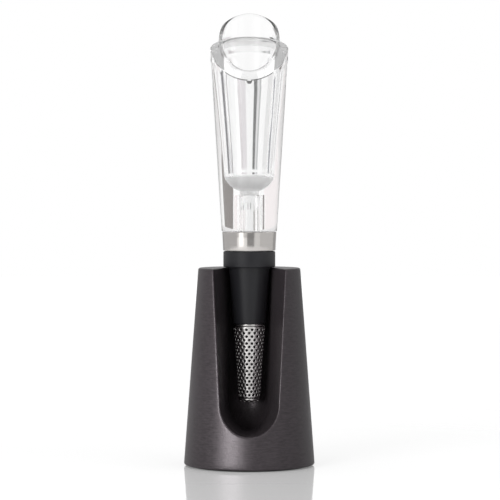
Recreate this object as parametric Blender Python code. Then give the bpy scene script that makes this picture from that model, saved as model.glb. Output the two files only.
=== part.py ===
"""Wine aerator pourer standing in its drip stand.

All sizes are in metres, +Z is up and the stand rests on Z = 0.  The pourer's
axis is the Z axis, its pouring lip rises at the rear (+Y), and the stand's
open channel faces the front (-Y).  Heights are stacked from the foot pad
upwards, so that a longer strainer or stopper makes a taller stand.
"""

import math

import bmesh
import bpy

# Fits
GAP = 0.0003
CUT_OVERRUN = 0.002
MERGE_DISTANCE = 0.00001

# Stand, from the table upwards
PAD_THICKNESS = 0.0012
PAD_PROUD = 0.0006
PLATE_THICKNESS = 0.0025
BALLAST_THICKNESS = 0.0085
STAND_WEB = 0.0039
STAND_BASE_RADIUS = 0.0328
STAND_TOP_RADIUS = 0.0255
STAND_EDGE = 0.0010
SKIRT_WALL = 0.0028
LEDGE_WIDTH = 0.0020

# Stand channel, open at the front and the top
CHANNEL_ROUND_HEIGHT = 0.0160
CHANNEL_TOP_SPREAD = 0.0074
CHANNEL_LOW_SPREAD = 0.0039
CHANNEL_CORNER = 0.0010
DRAW_SPACE = 0.0149

# Screws of the stand's base plate
SCREW_COUNT = 3
SCREW_SHANK_RADIUS = 0.0012
SCREW_SHANK_LENGTH = 0.0070
SCREW_HEAD_RADIUS = 0.0024
SCREW_HEAD_HEIGHT = 0.0013
BOSS_RADIUS = 0.0032
BOSS_INSET = 0.0016

# Strainer
CAP_HEIGHT = 0.0018
CAP_FLAT_RADIUS = 0.0036
CAP_SPIGOT = 0.0012
CAP_HOLE_RADIUS = 0.0006
CAP_HOLE_COUNT = 6
BASKET_LOW_RADIUS = 0.00535
BASKET_NECK_RADIUS = 0.00750
BASKET_TOP_RADIUS = 0.00795
BASKET_STRAIGHT_LENGTH = 0.0318
BASKET_FLARE_LENGTH = 0.0040
BASKET_WALL = 0.0005
BASKET_COLUMNS = 12
BASKET_ROWS = 11
BASKET_BORDER = 0.0009
BASKET_HOLE_SHARE = 0.32
STRAINER_FLANGE = 0.0006
STRAINER_NECK_RADIUS = 0.0066
STRAINER_NECK_LENGTH = 0.0120
STRAINER_NECK_WALL = 0.0006

# Stopper sleeve and its hard core
CONE_LENGTH = 0.0283
CONE_LOW_RADIUS = 0.00815
CONE_TOP_RADIUS = 0.0103
SLEEVE_COLLAR_RADIUS = 0.0130
SLEEVE_COLLAR_HEIGHT = 0.0080
SLEEVE_COLLAR_FLOOR = 0.0018
SLEEVE_EDGE = 0.0006
STEM_WALL = 0.0020
SOCKET_WALL = 0.0013
SOCKET_FLOOR = 0.0012

# Steel ring
RING_HEIGHT = 0.0094
RING_LOW_RADIUS = 0.0131
RING_TOP_RADIUS = 0.0136
RING_WALL = 0.0009
RING_EDGE = 0.0003

# Clear spout
SPIGOT_RADIUS = 0.0096
SPIGOT_LENGTH = 0.0120
SEAL_RADIUS = 0.0005
SPOUT_BASE_RADIUS = 0.01385
SPOUT_CONE_RADIUS = 0.0190
SPOUT_CONE_HEIGHT = 0.0826
BEAD_RADIUS = 0.0195
BEAD_HEIGHT = 0.0080
BEAD_BLEND = 0.0016
BEAD_LEAN_SHARE = 0.07
SHOULDER_HEIGHT = 0.0925
SHOULDER_SLANT_SHARE = 0.30
SHOULDER_ROUND = 0.0020
LIP_RADIUS = 0.01525
LIP_WALL = 0.0017
LIP_FILLET = 0.0009
LIP_EDGE = 0.0005
LIP_MIDDLE_HEIGHT = 0.0941
LIP_REAR_RISE = 0.0160
LIP_FRONT_DROP = 0.0205
CAVITY_LOW_RADIUS = 0.0086
CAVITY_FLARE_POWER = 1.2
CUP_FLOOR_HEIGHT = 0.0196
CUP_ROUND_HEIGHT = 0.0102
CUP_FLOOR_WEB = 0.0012

# Nozzle tube in the spout's bore
NOZZLE_RADIUS = 0.0051
NOZZLE_WALL = 0.0019
NOZZLE_FLANGE_RADIUS = 0.0080
NOZZLE_FLANGE = 0.0010
WASHER_THICKNESS = 0.0008

# Facets
LARGE_SIDES = 40
SMALL_SIDES = 32
SEAL_SIDES = 8
STAND_HALF_SIDES = 20
CHANNEL_BACK_SIDES = 10

# Heights of the stand's pieces
PLATE_LOW = PAD_THICKNESS + GAP
PLATE_TOP = PLATE_LOW + PLATE_THICKNESS
BALLAST_LOW = PLATE_TOP + GAP
BALLAST_TOP = BALLAST_LOW + BALLAST_THICKNESS
HOLLOW_TOP = BALLAST_TOP + GAP
CHANNEL_FLOOR = HOLLOW_TOP + STAND_WEB
SHELL_LOW = PAD_PROUD

# Heights of the pourer's pieces
STRAINER_LOW = CHANNEL_FLOOR + DRAW_SPACE
CAP_TOP = STRAINER_LOW + CAP_HEIGHT
BASKET_LOW = CAP_TOP + GAP
BASKET_NECK = BASKET_LOW + BASKET_STRAIGHT_LENGTH
BASKET_TOP = BASKET_NECK + BASKET_FLARE_LENGTH
FLANGE_LOW = BASKET_TOP + GAP
FLANGE_TOP = FLANGE_LOW + STRAINER_FLANGE
NECK_TOP = FLANGE_TOP + STRAINER_NECK_LENGTH
SLEEVE_LOW = FLANGE_TOP + GAP
COLLAR_LOW = SLEEVE_LOW + CONE_LENGTH
STAND_TOP = COLLAR_LOW - GAP
COLLAR_TOP = COLLAR_LOW + SLEEVE_COLLAR_HEIGHT
COLLAR_STEP = COLLAR_LOW + SLEEVE_COLLAR_FLOOR
RING_LOW = COLLAR_TOP + GAP
RING_TOP = RING_LOW + RING_HEIGHT
SPOUT_LOW = RING_TOP + GAP
SPIGOT_LOW = SPOUT_LOW - SPIGOT_LENGTH
SOCKET_LOW = COLLAR_STEP + GAP
SOCKET_BOTTOM = SOCKET_LOW + SOCKET_FLOOR
WASHER_LOW = SOCKET_BOTTOM + GAP
WASHER_TOP = WASHER_LOW + WASHER_THICKNESS
NOZZLE_FLANGE_TOP = SPIGOT_LOW - GAP
NOZZLE_LOW = NOZZLE_FLANGE_TOP - NOZZLE_FLANGE
CUP_FLOOR = SPOUT_LOW + CUP_FLOOR_HEIGHT
NOZZLE_SEAT = CUP_FLOOR - CUP_FLOOR_WEB
NOZZLE_TOP = NOZZLE_SEAT - GAP
STEM_LOW = NECK_TOP + GAP

# Radii that follow their neighbours
CHANNEL_RADIUS = CONE_TOP_RADIUS + GAP
RECESS_RADIUS = STAND_BASE_RADIUS - SKIRT_WALL
PLATE_RADIUS = RECESS_RADIUS - GAP
HOLLOW_RADIUS = RECESS_RADIUS - LEDGE_WIDTH
BOSS_CIRCLE = HOLLOW_RADIUS - BOSS_INSET - BOSS_RADIUS
BALLAST_RADIUS = BOSS_CIRCLE - BOSS_RADIUS - GAP
SLEEVE_BORE = STRAINER_NECK_RADIUS + GAP
STEM_RADIUS = STRAINER_NECK_RADIUS
STEM_BORE = STEM_RADIUS - STEM_WALL
SOCKET_BORE = SPIGOT_RADIUS + GAP
SOCKET_RADIUS = SOCKET_BORE + SOCKET_WALL
SLEEVE_SOCKET_BORE = SOCKET_RADIUS + GAP
RING_BORE = RING_LOW_RADIUS - RING_WALL
CORE_FLANGE_RADIUS = RING_BORE - GAP
SPOUT_BORE = NOZZLE_RADIUS + GAP
NOZZLE_BORE = NOZZLE_RADIUS - NOZZLE_WALL
LIP_BORE = LIP_RADIUS - LIP_WALL
SEAL_CIRCLE = SPIGOT_RADIUS - SEAL_RADIUS
GROOVE_RADIUS = SEAL_CIRCLE - SEAL_RADIUS - GAP

# Unit shares of quarter arcs and rows
ROUND_SHARES = (0.0, 0.3, 1.0)
ARC_STEPS = 3
CHANNEL_ROW_SHARES = (0.0, 0.2, 0.45, 0.7, 1.0)
CHANNEL_FLOOR_STEPS = 7
SPOUT_TOP_ROW_SHARES = (1.45, 1.2, 1.0, 0.8, 0.45)


def clear_objects():
    """Remove what a new Blender file holds."""
    for item in list(bpy.data.objects):
        bpy.data.objects.remove(item, do_unlink=True)


def make_material(name, colour, roughness, metallic=0.0, transmission=0.0, ior=1.45):
    """A Principled material with one finish."""
    material = bpy.data.materials.new(name)
    material.use_nodes = True
    shader = material.node_tree.nodes["Principled BSDF"]
    shader.inputs["Base Color"].default_value = (*colour, 1.0)
    shader.inputs["Roughness"].default_value = roughness
    shader.inputs["Metallic"].default_value = metallic
    shader.inputs["Transmission Weight"].default_value = transmission
    shader.inputs["IOR"].default_value = ior
    material.diffuse_color = (*colour, 1.0)
    return material


def add_object(name, shape, material):
    """Turn a closed bmesh into a named object with smooth round faces."""
    bmesh.ops.remove_doubles(shape, verts=shape.verts, dist=MERGE_DISTANCE)
    bmesh.ops.dissolve_degenerate(shape, dist=MERGE_DISTANCE, edges=shape.edges)
    bmesh.ops.recalc_face_normals(shape, faces=shape.faces)
    mesh = bpy.data.meshes.new(name)
    shape.to_mesh(mesh)
    shape.free()
    mesh.shade_smooth()
    mesh.set_sharp_from_angle(angle=math.radians(35.0))
    item = bpy.data.objects.new(name, mesh)
    bpy.context.scene.collection.objects.link(item)
    if material is not None:
        mesh.materials.append(material)
    return item


def add_guide(name, shape):
    """A cutter, which is no piece of the object."""
    guide = add_object(name, shape, None)
    guide.hide_render = True
    guide.display_type = "WIRE"
    return guide


def combine(item, guide, operation):
    """Cut a guide out of a piece, or grow it onto one."""
    modifier = item.modifiers.new(guide.name, "BOOLEAN")
    modifier.operation = operation
    modifier.solver = "EXACT"
    modifier.object = guide


def turned_shape(section_at, sides, closed=True):
    """Sweep a section of (radius, height) points round the Z axis.

    The angle runs from the rear (+Y) towards +X.  A section that starts and
    ends on the axis is left open, because its two ends meet there.
    """
    shape = bmesh.new()
    rings = []
    for side in range(sides):
        angle = math.tau * side / sides
        across, along = math.sin(angle), math.cos(angle)
        rings.append([shape.verts.new((radius * across, radius * along, height))
                      for radius, height in section_at(angle)])
    count = len(rings[0])
    for side in range(sides):
        here, there = rings[side], rings[(side + 1) % sides]
        for step in range(count if closed else count - 1):
            after = (step + 1) % count
            shape.faces.new((here[step], here[after], there[after], there[step]))
    return shape


def turned(name, section, sides, material, closed=True):
    """A round piece whose section is the same all the way round."""
    return add_object(name, turned_shape(lambda angle: section, sides, closed), material)


def rod_section(radius, low, top):
    """A plain cylinder's half section, from axis to axis."""
    return [(0.0, low), (radius, low), (radius, top), (0.0, top)]


def arc(centre_radius, centre_height, radius, start, end, steps):
    """Points on an arc in the section plane; angles run from outwards to up."""
    points = []
    for step in range(steps + 1):
        angle = math.radians(start + (end - start) * step / steps)
        points.append((centre_radius + radius * math.cos(angle),
                       centre_height + radius * math.sin(angle)))
    return points


def move_shape(shape, x, y):
    """Shift a bmesh sideways."""
    bmesh.ops.translate(shape, verts=shape.verts, vec=(x, y, 0.0))


def around(count, radius, phase=0.0):
    """Places spread evenly on a circle."""
    for index in range(count):
        angle = math.tau * (index / count + phase)
        yield radius * math.sin(angle), radius * math.cos(angle)


# Stand


def stand_radius(height):
    """Outer radius of the stand's cone."""
    share = height / STAND_TOP
    return STAND_BASE_RADIUS + (STAND_TOP_RADIUS - STAND_BASE_RADIUS) * share


def channel_spread(height):
    """How much wider than its round back the channel's mouth is."""
    start = CHANNEL_FLOOR + CHANNEL_ROUND_HEIGHT
    share = max(0.0, (height - start) / (STAND_TOP - start))
    return CHANNEL_LOW_SPREAD + (CHANNEL_TOP_SPREAD - CHANNEL_LOW_SPREAD) * share


def stand_outline(height, inset, squeeze):
    """The stand's outer path and channel path at one height.

    Both run from the front right corner of the channel round to its front
    left corner.  Squeeze draws the channel in to a line on its floor.
    """
    radius = stand_radius(height) - inset
    back = (CHANNEL_RADIUS + inset) * squeeze
    half = (CHANNEL_RADIUS + channel_spread(height) + inset) * squeeze
    corner = CHANNEL_CORNER * squeeze
    edge_angle = math.asin(half / radius)
    start = edge_angle + corner / radius
    outer = []
    for step in range(2 * STAND_HALF_SIDES + 1):
        angle = start + (math.tau - 2.0 * start) * step / (2 * STAND_HALF_SIDES)
        outer.append((radius * math.sin(angle), -radius * math.cos(angle)))
    mouth_x, mouth_y = half, -radius * math.cos(edge_angle)
    reach = math.atan2(mouth_y, mouth_x) + math.acos(back / radius)
    touch = (back * math.cos(reach), back * math.sin(reach))
    length = math.hypot(touch[0] - mouth_x, touch[1] - mouth_y)
    wall = []
    wall_steps = STAND_HALF_SIDES - CHANNEL_BACK_SIDES
    for step in range(wall_steps):
        run = corner + (length - corner) * step / wall_steps
        share = run / length
        wall.append((mouth_x + (touch[0] - mouth_x) * share,
                     mouth_y + (touch[1] - mouth_y) * share))
    for step in range(CHANNEL_BACK_SIDES):
        angle = reach + (math.pi / 2.0 - reach) * step / CHANNEL_BACK_SIDES
        wall.append((back * math.cos(angle), back * math.sin(angle)))
    left = [(-x, y) for x, y in reversed(wall)]
    channel = wall + [(0.0, back)] + left
    corner_right = ((outer[0][0] + 2.0 * mouth_x + channel[0][0]) / 4.0,
                    (outer[0][1] + 2.0 * mouth_y + channel[0][1]) / 4.0)
    return outer, channel, corner_right


def stand_shell_shape():
    """The stand's outer skin: a cone with a channel let into its front."""
    rows = [(STAND_TOP, STAND_EDGE, 1.0),
            (STAND_TOP - STAND_EDGE * 0.3, STAND_EDGE * 0.3, 1.0),
            (STAND_TOP - STAND_EDGE, 0.0, 1.0)]
    high, low = STAND_TOP - STAND_EDGE, CHANNEL_FLOOR + CHANNEL_ROUND_HEIGHT
    rows += [(high + (low - high) * share, 0.0, 1.0) for share in CHANNEL_ROW_SHARES[1:]]
    for step in range(1, CHANNEL_FLOOR_STEPS + 1):
        angle = math.pi / 2.0 * step / CHANNEL_FLOOR_STEPS
        squeeze = 0.0 if step == CHANNEL_FLOOR_STEPS else math.cos(angle)
        rows.append((low - CHANNEL_ROUND_HEIGHT * math.sin(angle), 0.0, squeeze))
    shape = bmesh.new()
    loops = []
    for height, inset, squeeze in rows:
        outer, channel, (corner_x, corner_y) = stand_outline(height, inset, squeeze)
        path = outer + [(-corner_x, corner_y)] + channel[::-1] + [(corner_x, corner_y)]
        loops.append([shape.verts.new((x, y, height)) for x, y in path])
    for upper, lower in zip(loops, loops[1:]):
        for index in range(len(upper)):
            after = (index + 1) % len(upper)
            shape.faces.new((upper[index], upper[after], lower[after], lower[index]))
    top, count = loops[0], 2 * STAND_HALF_SIDES + 1
    outer_top, channel_top = top[:count], top[count + 1:2 * count + 1][::-1]
    for index in range(count - 1):
        shape.faces.new((outer_top[index], outer_top[index + 1],
                         channel_top[index + 1], channel_top[index]))
    shape.faces.new((outer_top[0], channel_top[0], top[-1]))
    shape.faces.new((outer_top[-1], top[count], channel_top[-1]))
    previous = loops[-1][:count]
    for height, inset in ((SHELL_LOW + STAND_EDGE, 0.0),
                          (SHELL_LOW + STAND_EDGE * 0.3, STAND_EDGE * 0.3),
                          (SHELL_LOW, STAND_EDGE)):
        radius = stand_radius(height) - inset
        ring = []
        for step in range(count):
            angle = math.tau * step / (count - 1)
            ring.append(shape.verts.new((radius * math.sin(angle),
                                         -radius * math.cos(angle), height)))
        for index in range(count - 1):
            shape.faces.new((previous[index], previous[index + 1],
                             ring[index + 1], ring[index]))
        previous = ring
    bmesh.ops.remove_doubles(shape, verts=shape.verts, dist=MERGE_DISTANCE)
    rim = [edge for edge in shape.edges if edge.is_boundary]
    bmesh.ops.contextual_create(shape, geom=rim)
    return shape


def screw_places():
    """Where the base plate's screws stand, one of them at the rear."""
    return list(around(SCREW_COUNT, BOSS_CIRCLE))


def make_stand_shell():
    """Cone with its channel, underside recess, screw bosses and their bores."""
    material = make_material("anthracite_lacquer", (0.045, 0.040, 0.041), 0.36, 0.55)
    shell = add_object("stand_shell", stand_shell_shape(), material)
    low = SHELL_LOW - CUT_OVERRUN
    section = [(0.0, low), (RECESS_RADIUS, low), (RECESS_RADIUS, BALLAST_LOW),
               (HOLLOW_RADIUS, BALLAST_LOW), (HOLLOW_RADIUS, HOLLOW_TOP), (0.0, HOLLOW_TOP)]
    hollow = turned_shape(lambda angle: section, 2 * STAND_HALF_SIDES, False)
    combine(shell, add_guide("stand_hollow_cutter", hollow), "DIFFERENCE")
    bore, boss_top = SCREW_SHANK_RADIUS + GAP, HOLLOW_TOP + STAND_WEB / 2.0
    post = [(bore, BALLAST_LOW), (BOSS_RADIUS, BALLAST_LOW),
            (BOSS_RADIUS, boss_top), (bore, boss_top)]
    for index, (x, y) in enumerate(screw_places()):
        boss = turned_shape(lambda angle: post, SMALL_SIDES // 2)
        move_shape(boss, x, y)
        combine(shell, add_guide(f"boss_guide_{index}", boss), "UNION")


def make_stand_base():
    """Ballast disc, base plate, its screws and the foot pad."""
    steel = make_material("ballast_steel", (0.42, 0.42, 0.43), 0.45, 1.0)
    turned("stand_ballast", rod_section(BALLAST_RADIUS, BALLAST_LOW, BALLAST_TOP),
           LARGE_SIDES, steel, closed=False)
    black = make_material("base_plate_black", (0.03, 0.03, 0.032), 0.55)
    plate = turned("stand_base_plate", rod_section(PLATE_RADIUS, PLATE_LOW, PLATE_TOP),
                   2 * STAND_HALF_SIDES, black, closed=False)
    head_top = PLATE_LOW + SCREW_HEAD_HEIGHT
    shank_end = head_top + SCREW_SHANK_LENGTH
    section = [(0.0, PLATE_LOW), (SCREW_HEAD_RADIUS, PLATE_LOW),
               (SCREW_HEAD_RADIUS, head_top), (SCREW_SHANK_RADIUS, head_top),
               (SCREW_SHANK_RADIUS, shank_end), (0.0, shank_end)]
    zinc = make_material("screw_zinc", (0.6, 0.6, 0.6), 0.35, 1.0)
    first = turned("base_screw_1", section, SMALL_SIDES // 2, zinc, closed=False)
    low, top = PLATE_LOW - CUT_OVERRUN, PLATE_TOP + CUT_OVERRUN
    head_bore, shank_bore = SCREW_HEAD_RADIUS + GAP, SCREW_SHANK_RADIUS + GAP
    hole = [(0.0, low), (head_bore, low), (head_bore, head_top + GAP),
            (shank_bore, head_top + GAP), (shank_bore, top), (0.0, top)]
    for index, (x, y) in enumerate(screw_places()):
        screw = first
        if index > 0:
            screw = bpy.data.objects.new(f"base_screw_{index + 1}", first.data)
            bpy.context.scene.collection.objects.link(screw)
        screw.location = (x, y, 0.0)
        cutter = turned_shape(lambda angle: hole, SMALL_SIDES // 2, False)
        move_shape(cutter, x, y)
        combine(plate, add_guide(f"plate_hole_cutter_{index}", cutter), "DIFFERENCE")
    rubber = make_material("pad_rubber", (0.02, 0.02, 0.02), 0.9)
    turned("stand_foot_pad", rod_section(PLATE_RADIUS, 0.0, PAD_THICKNESS),
           2 * STAND_HALF_SIDES, rubber, closed=False)


# Strainer


def basket_radius(height):
    """Outer radius of the perforated basket."""
    if height > BASKET_NECK:
        share = (height - BASKET_NECK) / BASKET_FLARE_LENGTH
        return BASKET_NECK_RADIUS + (BASKET_TOP_RADIUS - BASKET_NECK_RADIUS) * share
    share = (height - BASKET_LOW) / BASKET_STRAIGHT_LENGTH
    return BASKET_LOW_RADIUS + (BASKET_NECK_RADIUS - BASKET_LOW_RADIUS) * share


def basket_skin(shape, inset):
    """One skin of the basket: a honeycomb of cells round staggered holes."""
    half_steps = 2 * BASKET_COLUMNS
    low, top = BASKET_LOW + BASKET_BORDER, BASKET_TOP - BASKET_BORDER
    pitch = (top - low) / (BASKET_ROWS + 0.5)
    first = low + pitch * 0.75

    def place(half_step, height, turn=0.0):
        radius = basket_radius(height) - inset
        angle = math.tau * half_step / half_steps + turn / radius
        return shape.verts.new((radius * math.sin(angle), radius * math.cos(angle), height))

    borders = []
    for row in range(BASKET_ROWS + 1):
        centre = first + pitch * row
        line = []
        for half_step in range(half_steps):
            share = 2.0 / 3.0 if (half_step - row) % 2 == 0 else 1.0 / 3.0
            line.append(place(half_step, centre - pitch * share))
        borders.append(line)
    low_ring = [place(half_step, BASKET_LOW) for half_step in range(half_steps)]
    top_ring = [place(half_step, BASKET_TOP) for half_step in range(half_steps)]
    for near, far in ((low_ring, borders[0]), (borders[-1], top_ring)):
        for index in range(half_steps):
            after = (index + 1) % half_steps
            shape.faces.new((near[index], near[after], far[after], far[index]))
    holes = []
    for row in range(BASKET_ROWS):
        centre = first + pitch * row
        radius = pitch * BASKET_HOLE_SHARE
        for half_step in range(row % 2, half_steps, 2):
            before, after = (half_step - 1) % half_steps, (half_step + 1) % half_steps
            below, above = borders[row], borders[row + 1]
            cell = [below[before], below[half_step], below[after],
                    above[after], above[half_step], above[before]]
            hole = []
            for corner in range(6):
                angle = math.radians(210.0 + 60.0 * corner)
                hole.append(place(half_step, centre + radius * math.sin(angle),
                                  radius * math.cos(angle)))
            for corner in range(6):
                following = (corner + 1) % 6
                shape.faces.new((cell[corner], cell[following],
                                 hole[following], hole[corner]))
            holes.append(hole)
    return low_ring, top_ring, holes


def make_basket(material):
    """Perforated cone of sheet steel with staggered holes."""
    shape = bmesh.new()
    outer_low, outer_top, outer_holes = basket_skin(shape, 0.0)
    inner_low, inner_top, inner_holes = basket_skin(shape, BASKET_WALL)
    pairs = list(zip(outer_holes, inner_holes))
    pairs += [(outer_low, inner_low), (outer_top, inner_top)]
    for outer, inner in pairs:
        for index in range(len(outer)):
            after = (index + 1) % len(outer)
            shape.faces.new((outer[index], outer[after], inner[after], inner[index]))
    add_object("strainer_basket", shape, material)


def make_strainer():
    """Collar, perforated basket and pierced end cap."""
    steel = make_material("strainer_steel", (0.70, 0.68, 0.67), 0.22, 1.0)
    make_basket(steel)
    neck_bore = STRAINER_NECK_RADIUS - STRAINER_NECK_WALL
    collar = [(neck_bore, FLANGE_LOW), (BASKET_TOP_RADIUS, FLANGE_LOW),
              (BASKET_TOP_RADIUS, FLANGE_TOP), (STRAINER_NECK_RADIUS, FLANGE_TOP),
              (STRAINER_NECK_RADIUS, NECK_TOP), (neck_bore, NECK_TOP)]
    turned("strainer_collar", collar, SMALL_SIDES,
           make_material("collar_steel", (0.66, 0.65, 0.64), 0.25, 1.0))
    inside = BASKET_LOW_RADIUS - BASKET_WALL - GAP
    spigot_top = BASKET_LOW + CAP_SPIGOT
    floor = STRAINER_LOW + BASKET_WALL
    cap = [(0.0, STRAINER_LOW), (CAP_FLAT_RADIUS, STRAINER_LOW)]
    reach, rise = BASKET_LOW_RADIUS - CAP_FLAT_RADIUS, CAP_HEIGHT
    for step in range(1, ARC_STEPS + 1):
        angle = math.pi / 2.0 * step / ARC_STEPS
        cap.append((CAP_FLAT_RADIUS + reach * math.sin(angle),
                    CAP_TOP - rise * math.cos(angle)))
    cap += [(inside, CAP_TOP), (inside, spigot_top), (inside - BASKET_WALL, spigot_top),
            (CAP_FLAT_RADIUS - BASKET_WALL, floor), (0.0, floor)]
    piece = turned("strainer_end_cap", cap, 2 * BASKET_COLUMNS,
                   make_material("cap_steel", (0.66, 0.65, 0.64), 0.25, 1.0), closed=False)
    places = [(0.0, 0.0)] + list(around(CAP_HOLE_COUNT, CAP_FLAT_RADIUS / 2.0))
    for index, (x, y) in enumerate(places):
        low, top = STRAINER_LOW - CUT_OVERRUN, floor + CUT_OVERRUN
        hole = turned_shape(lambda angle: rod_section(CAP_HOLE_RADIUS, low, top), 6, False)
        move_shape(hole, x, y)
        combine(piece, add_guide(f"cap_hole_cutter_{index}", hole), "DIFFERENCE")


# Stopper and ring


def make_stopper():
    """Soft sleeve with its collar, hard core with stem and socket, washer."""
    edge = SLEEVE_EDGE
    sleeve = [(SLEEVE_BORE, SLEEVE_LOW), (CONE_LOW_RADIUS - edge, SLEEVE_LOW)]
    sleeve += arc(CONE_LOW_RADIUS - edge, SLEEVE_LOW + edge, edge, -90.0, 0.0, ARC_STEPS)[1:]
    sleeve += [(CONE_TOP_RADIUS, COLLAR_LOW)]
    side = SLEEVE_COLLAR_RADIUS - edge
    sleeve += arc(side, COLLAR_LOW + edge, edge, -90.0, 0.0, ARC_STEPS)
    sleeve += arc(side, COLLAR_TOP - edge, edge, 0.0, 90.0, ARC_STEPS)
    sleeve += [(SLEEVE_SOCKET_BORE, COLLAR_TOP), (SLEEVE_SOCKET_BORE, COLLAR_STEP),
               (SLEEVE_BORE, COLLAR_STEP)]
    turned("stopper_sleeve", sleeve, LARGE_SIDES,
           make_material("sleeve_silicone", (0.018, 0.018, 0.020), 0.42))
    core = [(STEM_BORE, STEM_LOW), (STEM_RADIUS, STEM_LOW), (STEM_RADIUS, SOCKET_LOW),
            (SOCKET_RADIUS, SOCKET_LOW), (SOCKET_RADIUS, RING_LOW),
            (CORE_FLANGE_RADIUS, RING_LOW), (CORE_FLANGE_RADIUS, RING_TOP),
            (SOCKET_BORE, RING_TOP), (SOCKET_BORE, SOCKET_BOTTOM), (STEM_BORE, SOCKET_BOTTOM)]
    turned("stopper_core", core, LARGE_SIDES,
           make_material("core_plastic", (0.04, 0.04, 0.042), 0.5))
    washer = [(STEM_BORE, WASHER_LOW), (SOCKET_BORE - GAP, WASHER_LOW),
              (SOCKET_BORE - GAP, WASHER_TOP), (STEM_BORE, WASHER_TOP)]
    turned("nozzle_washer", washer, SMALL_SIDES,
           make_material("washer_silicone", (0.75, 0.75, 0.74), 0.6))


def make_ring():
    """Tapered band of steel between stopper and spout."""
    edge = RING_EDGE
    ring = [(RING_BORE, RING_LOW), (RING_LOW_RADIUS - edge, RING_LOW),
            (RING_LOW_RADIUS, RING_LOW + edge), (RING_TOP_RADIUS, RING_TOP - edge),
            (RING_TOP_RADIUS - edge, RING_TOP), (RING_BORE, RING_TOP)]
    turned("steel_ring", ring, LARGE_SIDES,
           make_material("ring_steel", (0.66, 0.64, 0.62), 0.28, 1.0))


# Clear spout


def spout_radius(height):
    """Radius of the spout's plain outer cone."""
    share = (height - SPOUT_LOW) / SPOUT_CONE_HEIGHT
    return SPOUT_BASE_RADIUS + (SPOUT_CONE_RADIUS - SPOUT_BASE_RADIUS) * share


def cavity_radius(height):
    """Radius of the aerating cup inside the spout, above its round bottom."""
    low = cavity_centre()
    share = max(0.0, (height - low) / (SPOUT_LOW + LIP_MIDDLE_HEIGHT - low))
    wider = (LIP_BORE - CAVITY_LOW_RADIUS) * share ** CAVITY_FLARE_POWER
    return min(LIP_BORE, CAVITY_LOW_RADIUS + wider)


def cavity_centre():
    """Height at which the cup's round bottom starts."""
    return CUP_FLOOR + CUP_ROUND_HEIGHT


def lip_height(depth):
    """Height of the slanting pouring cut; depth is positive to the rear."""
    rear, front = LIP_RADIUS, BEAD_RADIUS
    bend = (LIP_REAR_RISE / rear - LIP_FRONT_DROP / front) / (rear + front)
    slope = LIP_REAR_RISE / rear - bend * rear
    return SPOUT_LOW + LIP_MIDDLE_HEIGHT + slope * depth + bend * depth * depth


def shoulder_height(depth):
    """Height of the slanting shoulder round the lip."""
    return SPOUT_LOW + SHOULDER_HEIGHT + SHOULDER_SLANT_SHARE * depth


def smooth_share(value):
    """An even blend from 0 to 1."""
    value = max(0.0, min(1.0, value))
    return value * value * (3.0 - 2.0 * value)


def spout_side(height, rear):
    """Outer radius with the bead that thickens the cone below the shoulder."""
    cone = spout_radius(height)
    start = shoulder_height(BEAD_RADIUS * rear) - BEAD_HEIGHT
    bead = BEAD_RADIUS - BEAD_LEAN_SHARE * max(0.0, height - start)
    share = smooth_share((height - start + BEAD_BLEND) / (2.0 * BEAD_BLEND))
    return cone + (max(bead, cone) - cone) * share


def spout_top_section(rear):
    """From the plain cone over bead, shoulder and lip down to the cavity."""
    def top_height(radius):
        return min(shoulder_height(radius * rear), lip_height(radius * rear))

    ridge = top_height(BEAD_RADIUS)
    uncut = smooth_share((lip_height(BEAD_RADIUS * rear) - ridge) / SHOULDER_ROUND)
    round_edge = LIP_EDGE + (SHOULDER_ROUND - LIP_EDGE) * uncut
    points = []
    for share in SPOUT_TOP_ROW_SHARES:
        height = ridge - BEAD_HEIGHT * share
        points.append((spout_side(height, rear), height))
    side = spout_side(ridge - round_edge, rear)
    for step in range(ARC_STEPS + 1):
        angle = math.pi / 2.0 * step / ARC_STEPS
        radius = side - round_edge + round_edge * math.cos(angle)
        drop = round_edge - round_edge * math.sin(angle)
        points.append((radius, top_height(side - round_edge) - drop
                       + (top_height(radius) - top_height(side - round_edge)) * (step / ARC_STEPS)))
    base = top_height(LIP_RADIUS)
    rise = max(0.0, lip_height(LIP_RADIUS * rear) - base)
    fillet = min(LIP_FILLET, rise / 2.0)
    points.append((LIP_RADIUS + fillet, top_height(LIP_RADIUS + fillet)))
    points.append((LIP_RADIUS + fillet * 0.3, base + fillet * 0.3))
    points.append((LIP_RADIUS, base + fillet))
    edge = min(LIP_EDGE, rise / 2.0)
    points.append((LIP_RADIUS, lip_height(LIP_RADIUS * rear) - edge))
    points.append((LIP_RADIUS - edge * 0.3,
                   lip_height((LIP_RADIUS - edge * 0.3) * rear) - edge * 0.3))
    points.append((LIP_RADIUS - edge, lip_height((LIP_RADIUS - edge) * rear)))
    inner = LIP_BORE + LIP_EDGE
    points.append((inner, lip_height(inner * rear)))
    inner_height = lip_height(LIP_BORE * rear)
    bore = cavity_radius(inner_height - LIP_EDGE)
    points.append((bore + LIP_EDGE * 0.3, inner_height - LIP_EDGE * 0.3))
    points.append((bore, inner_height - LIP_EDGE))
    return points


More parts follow.
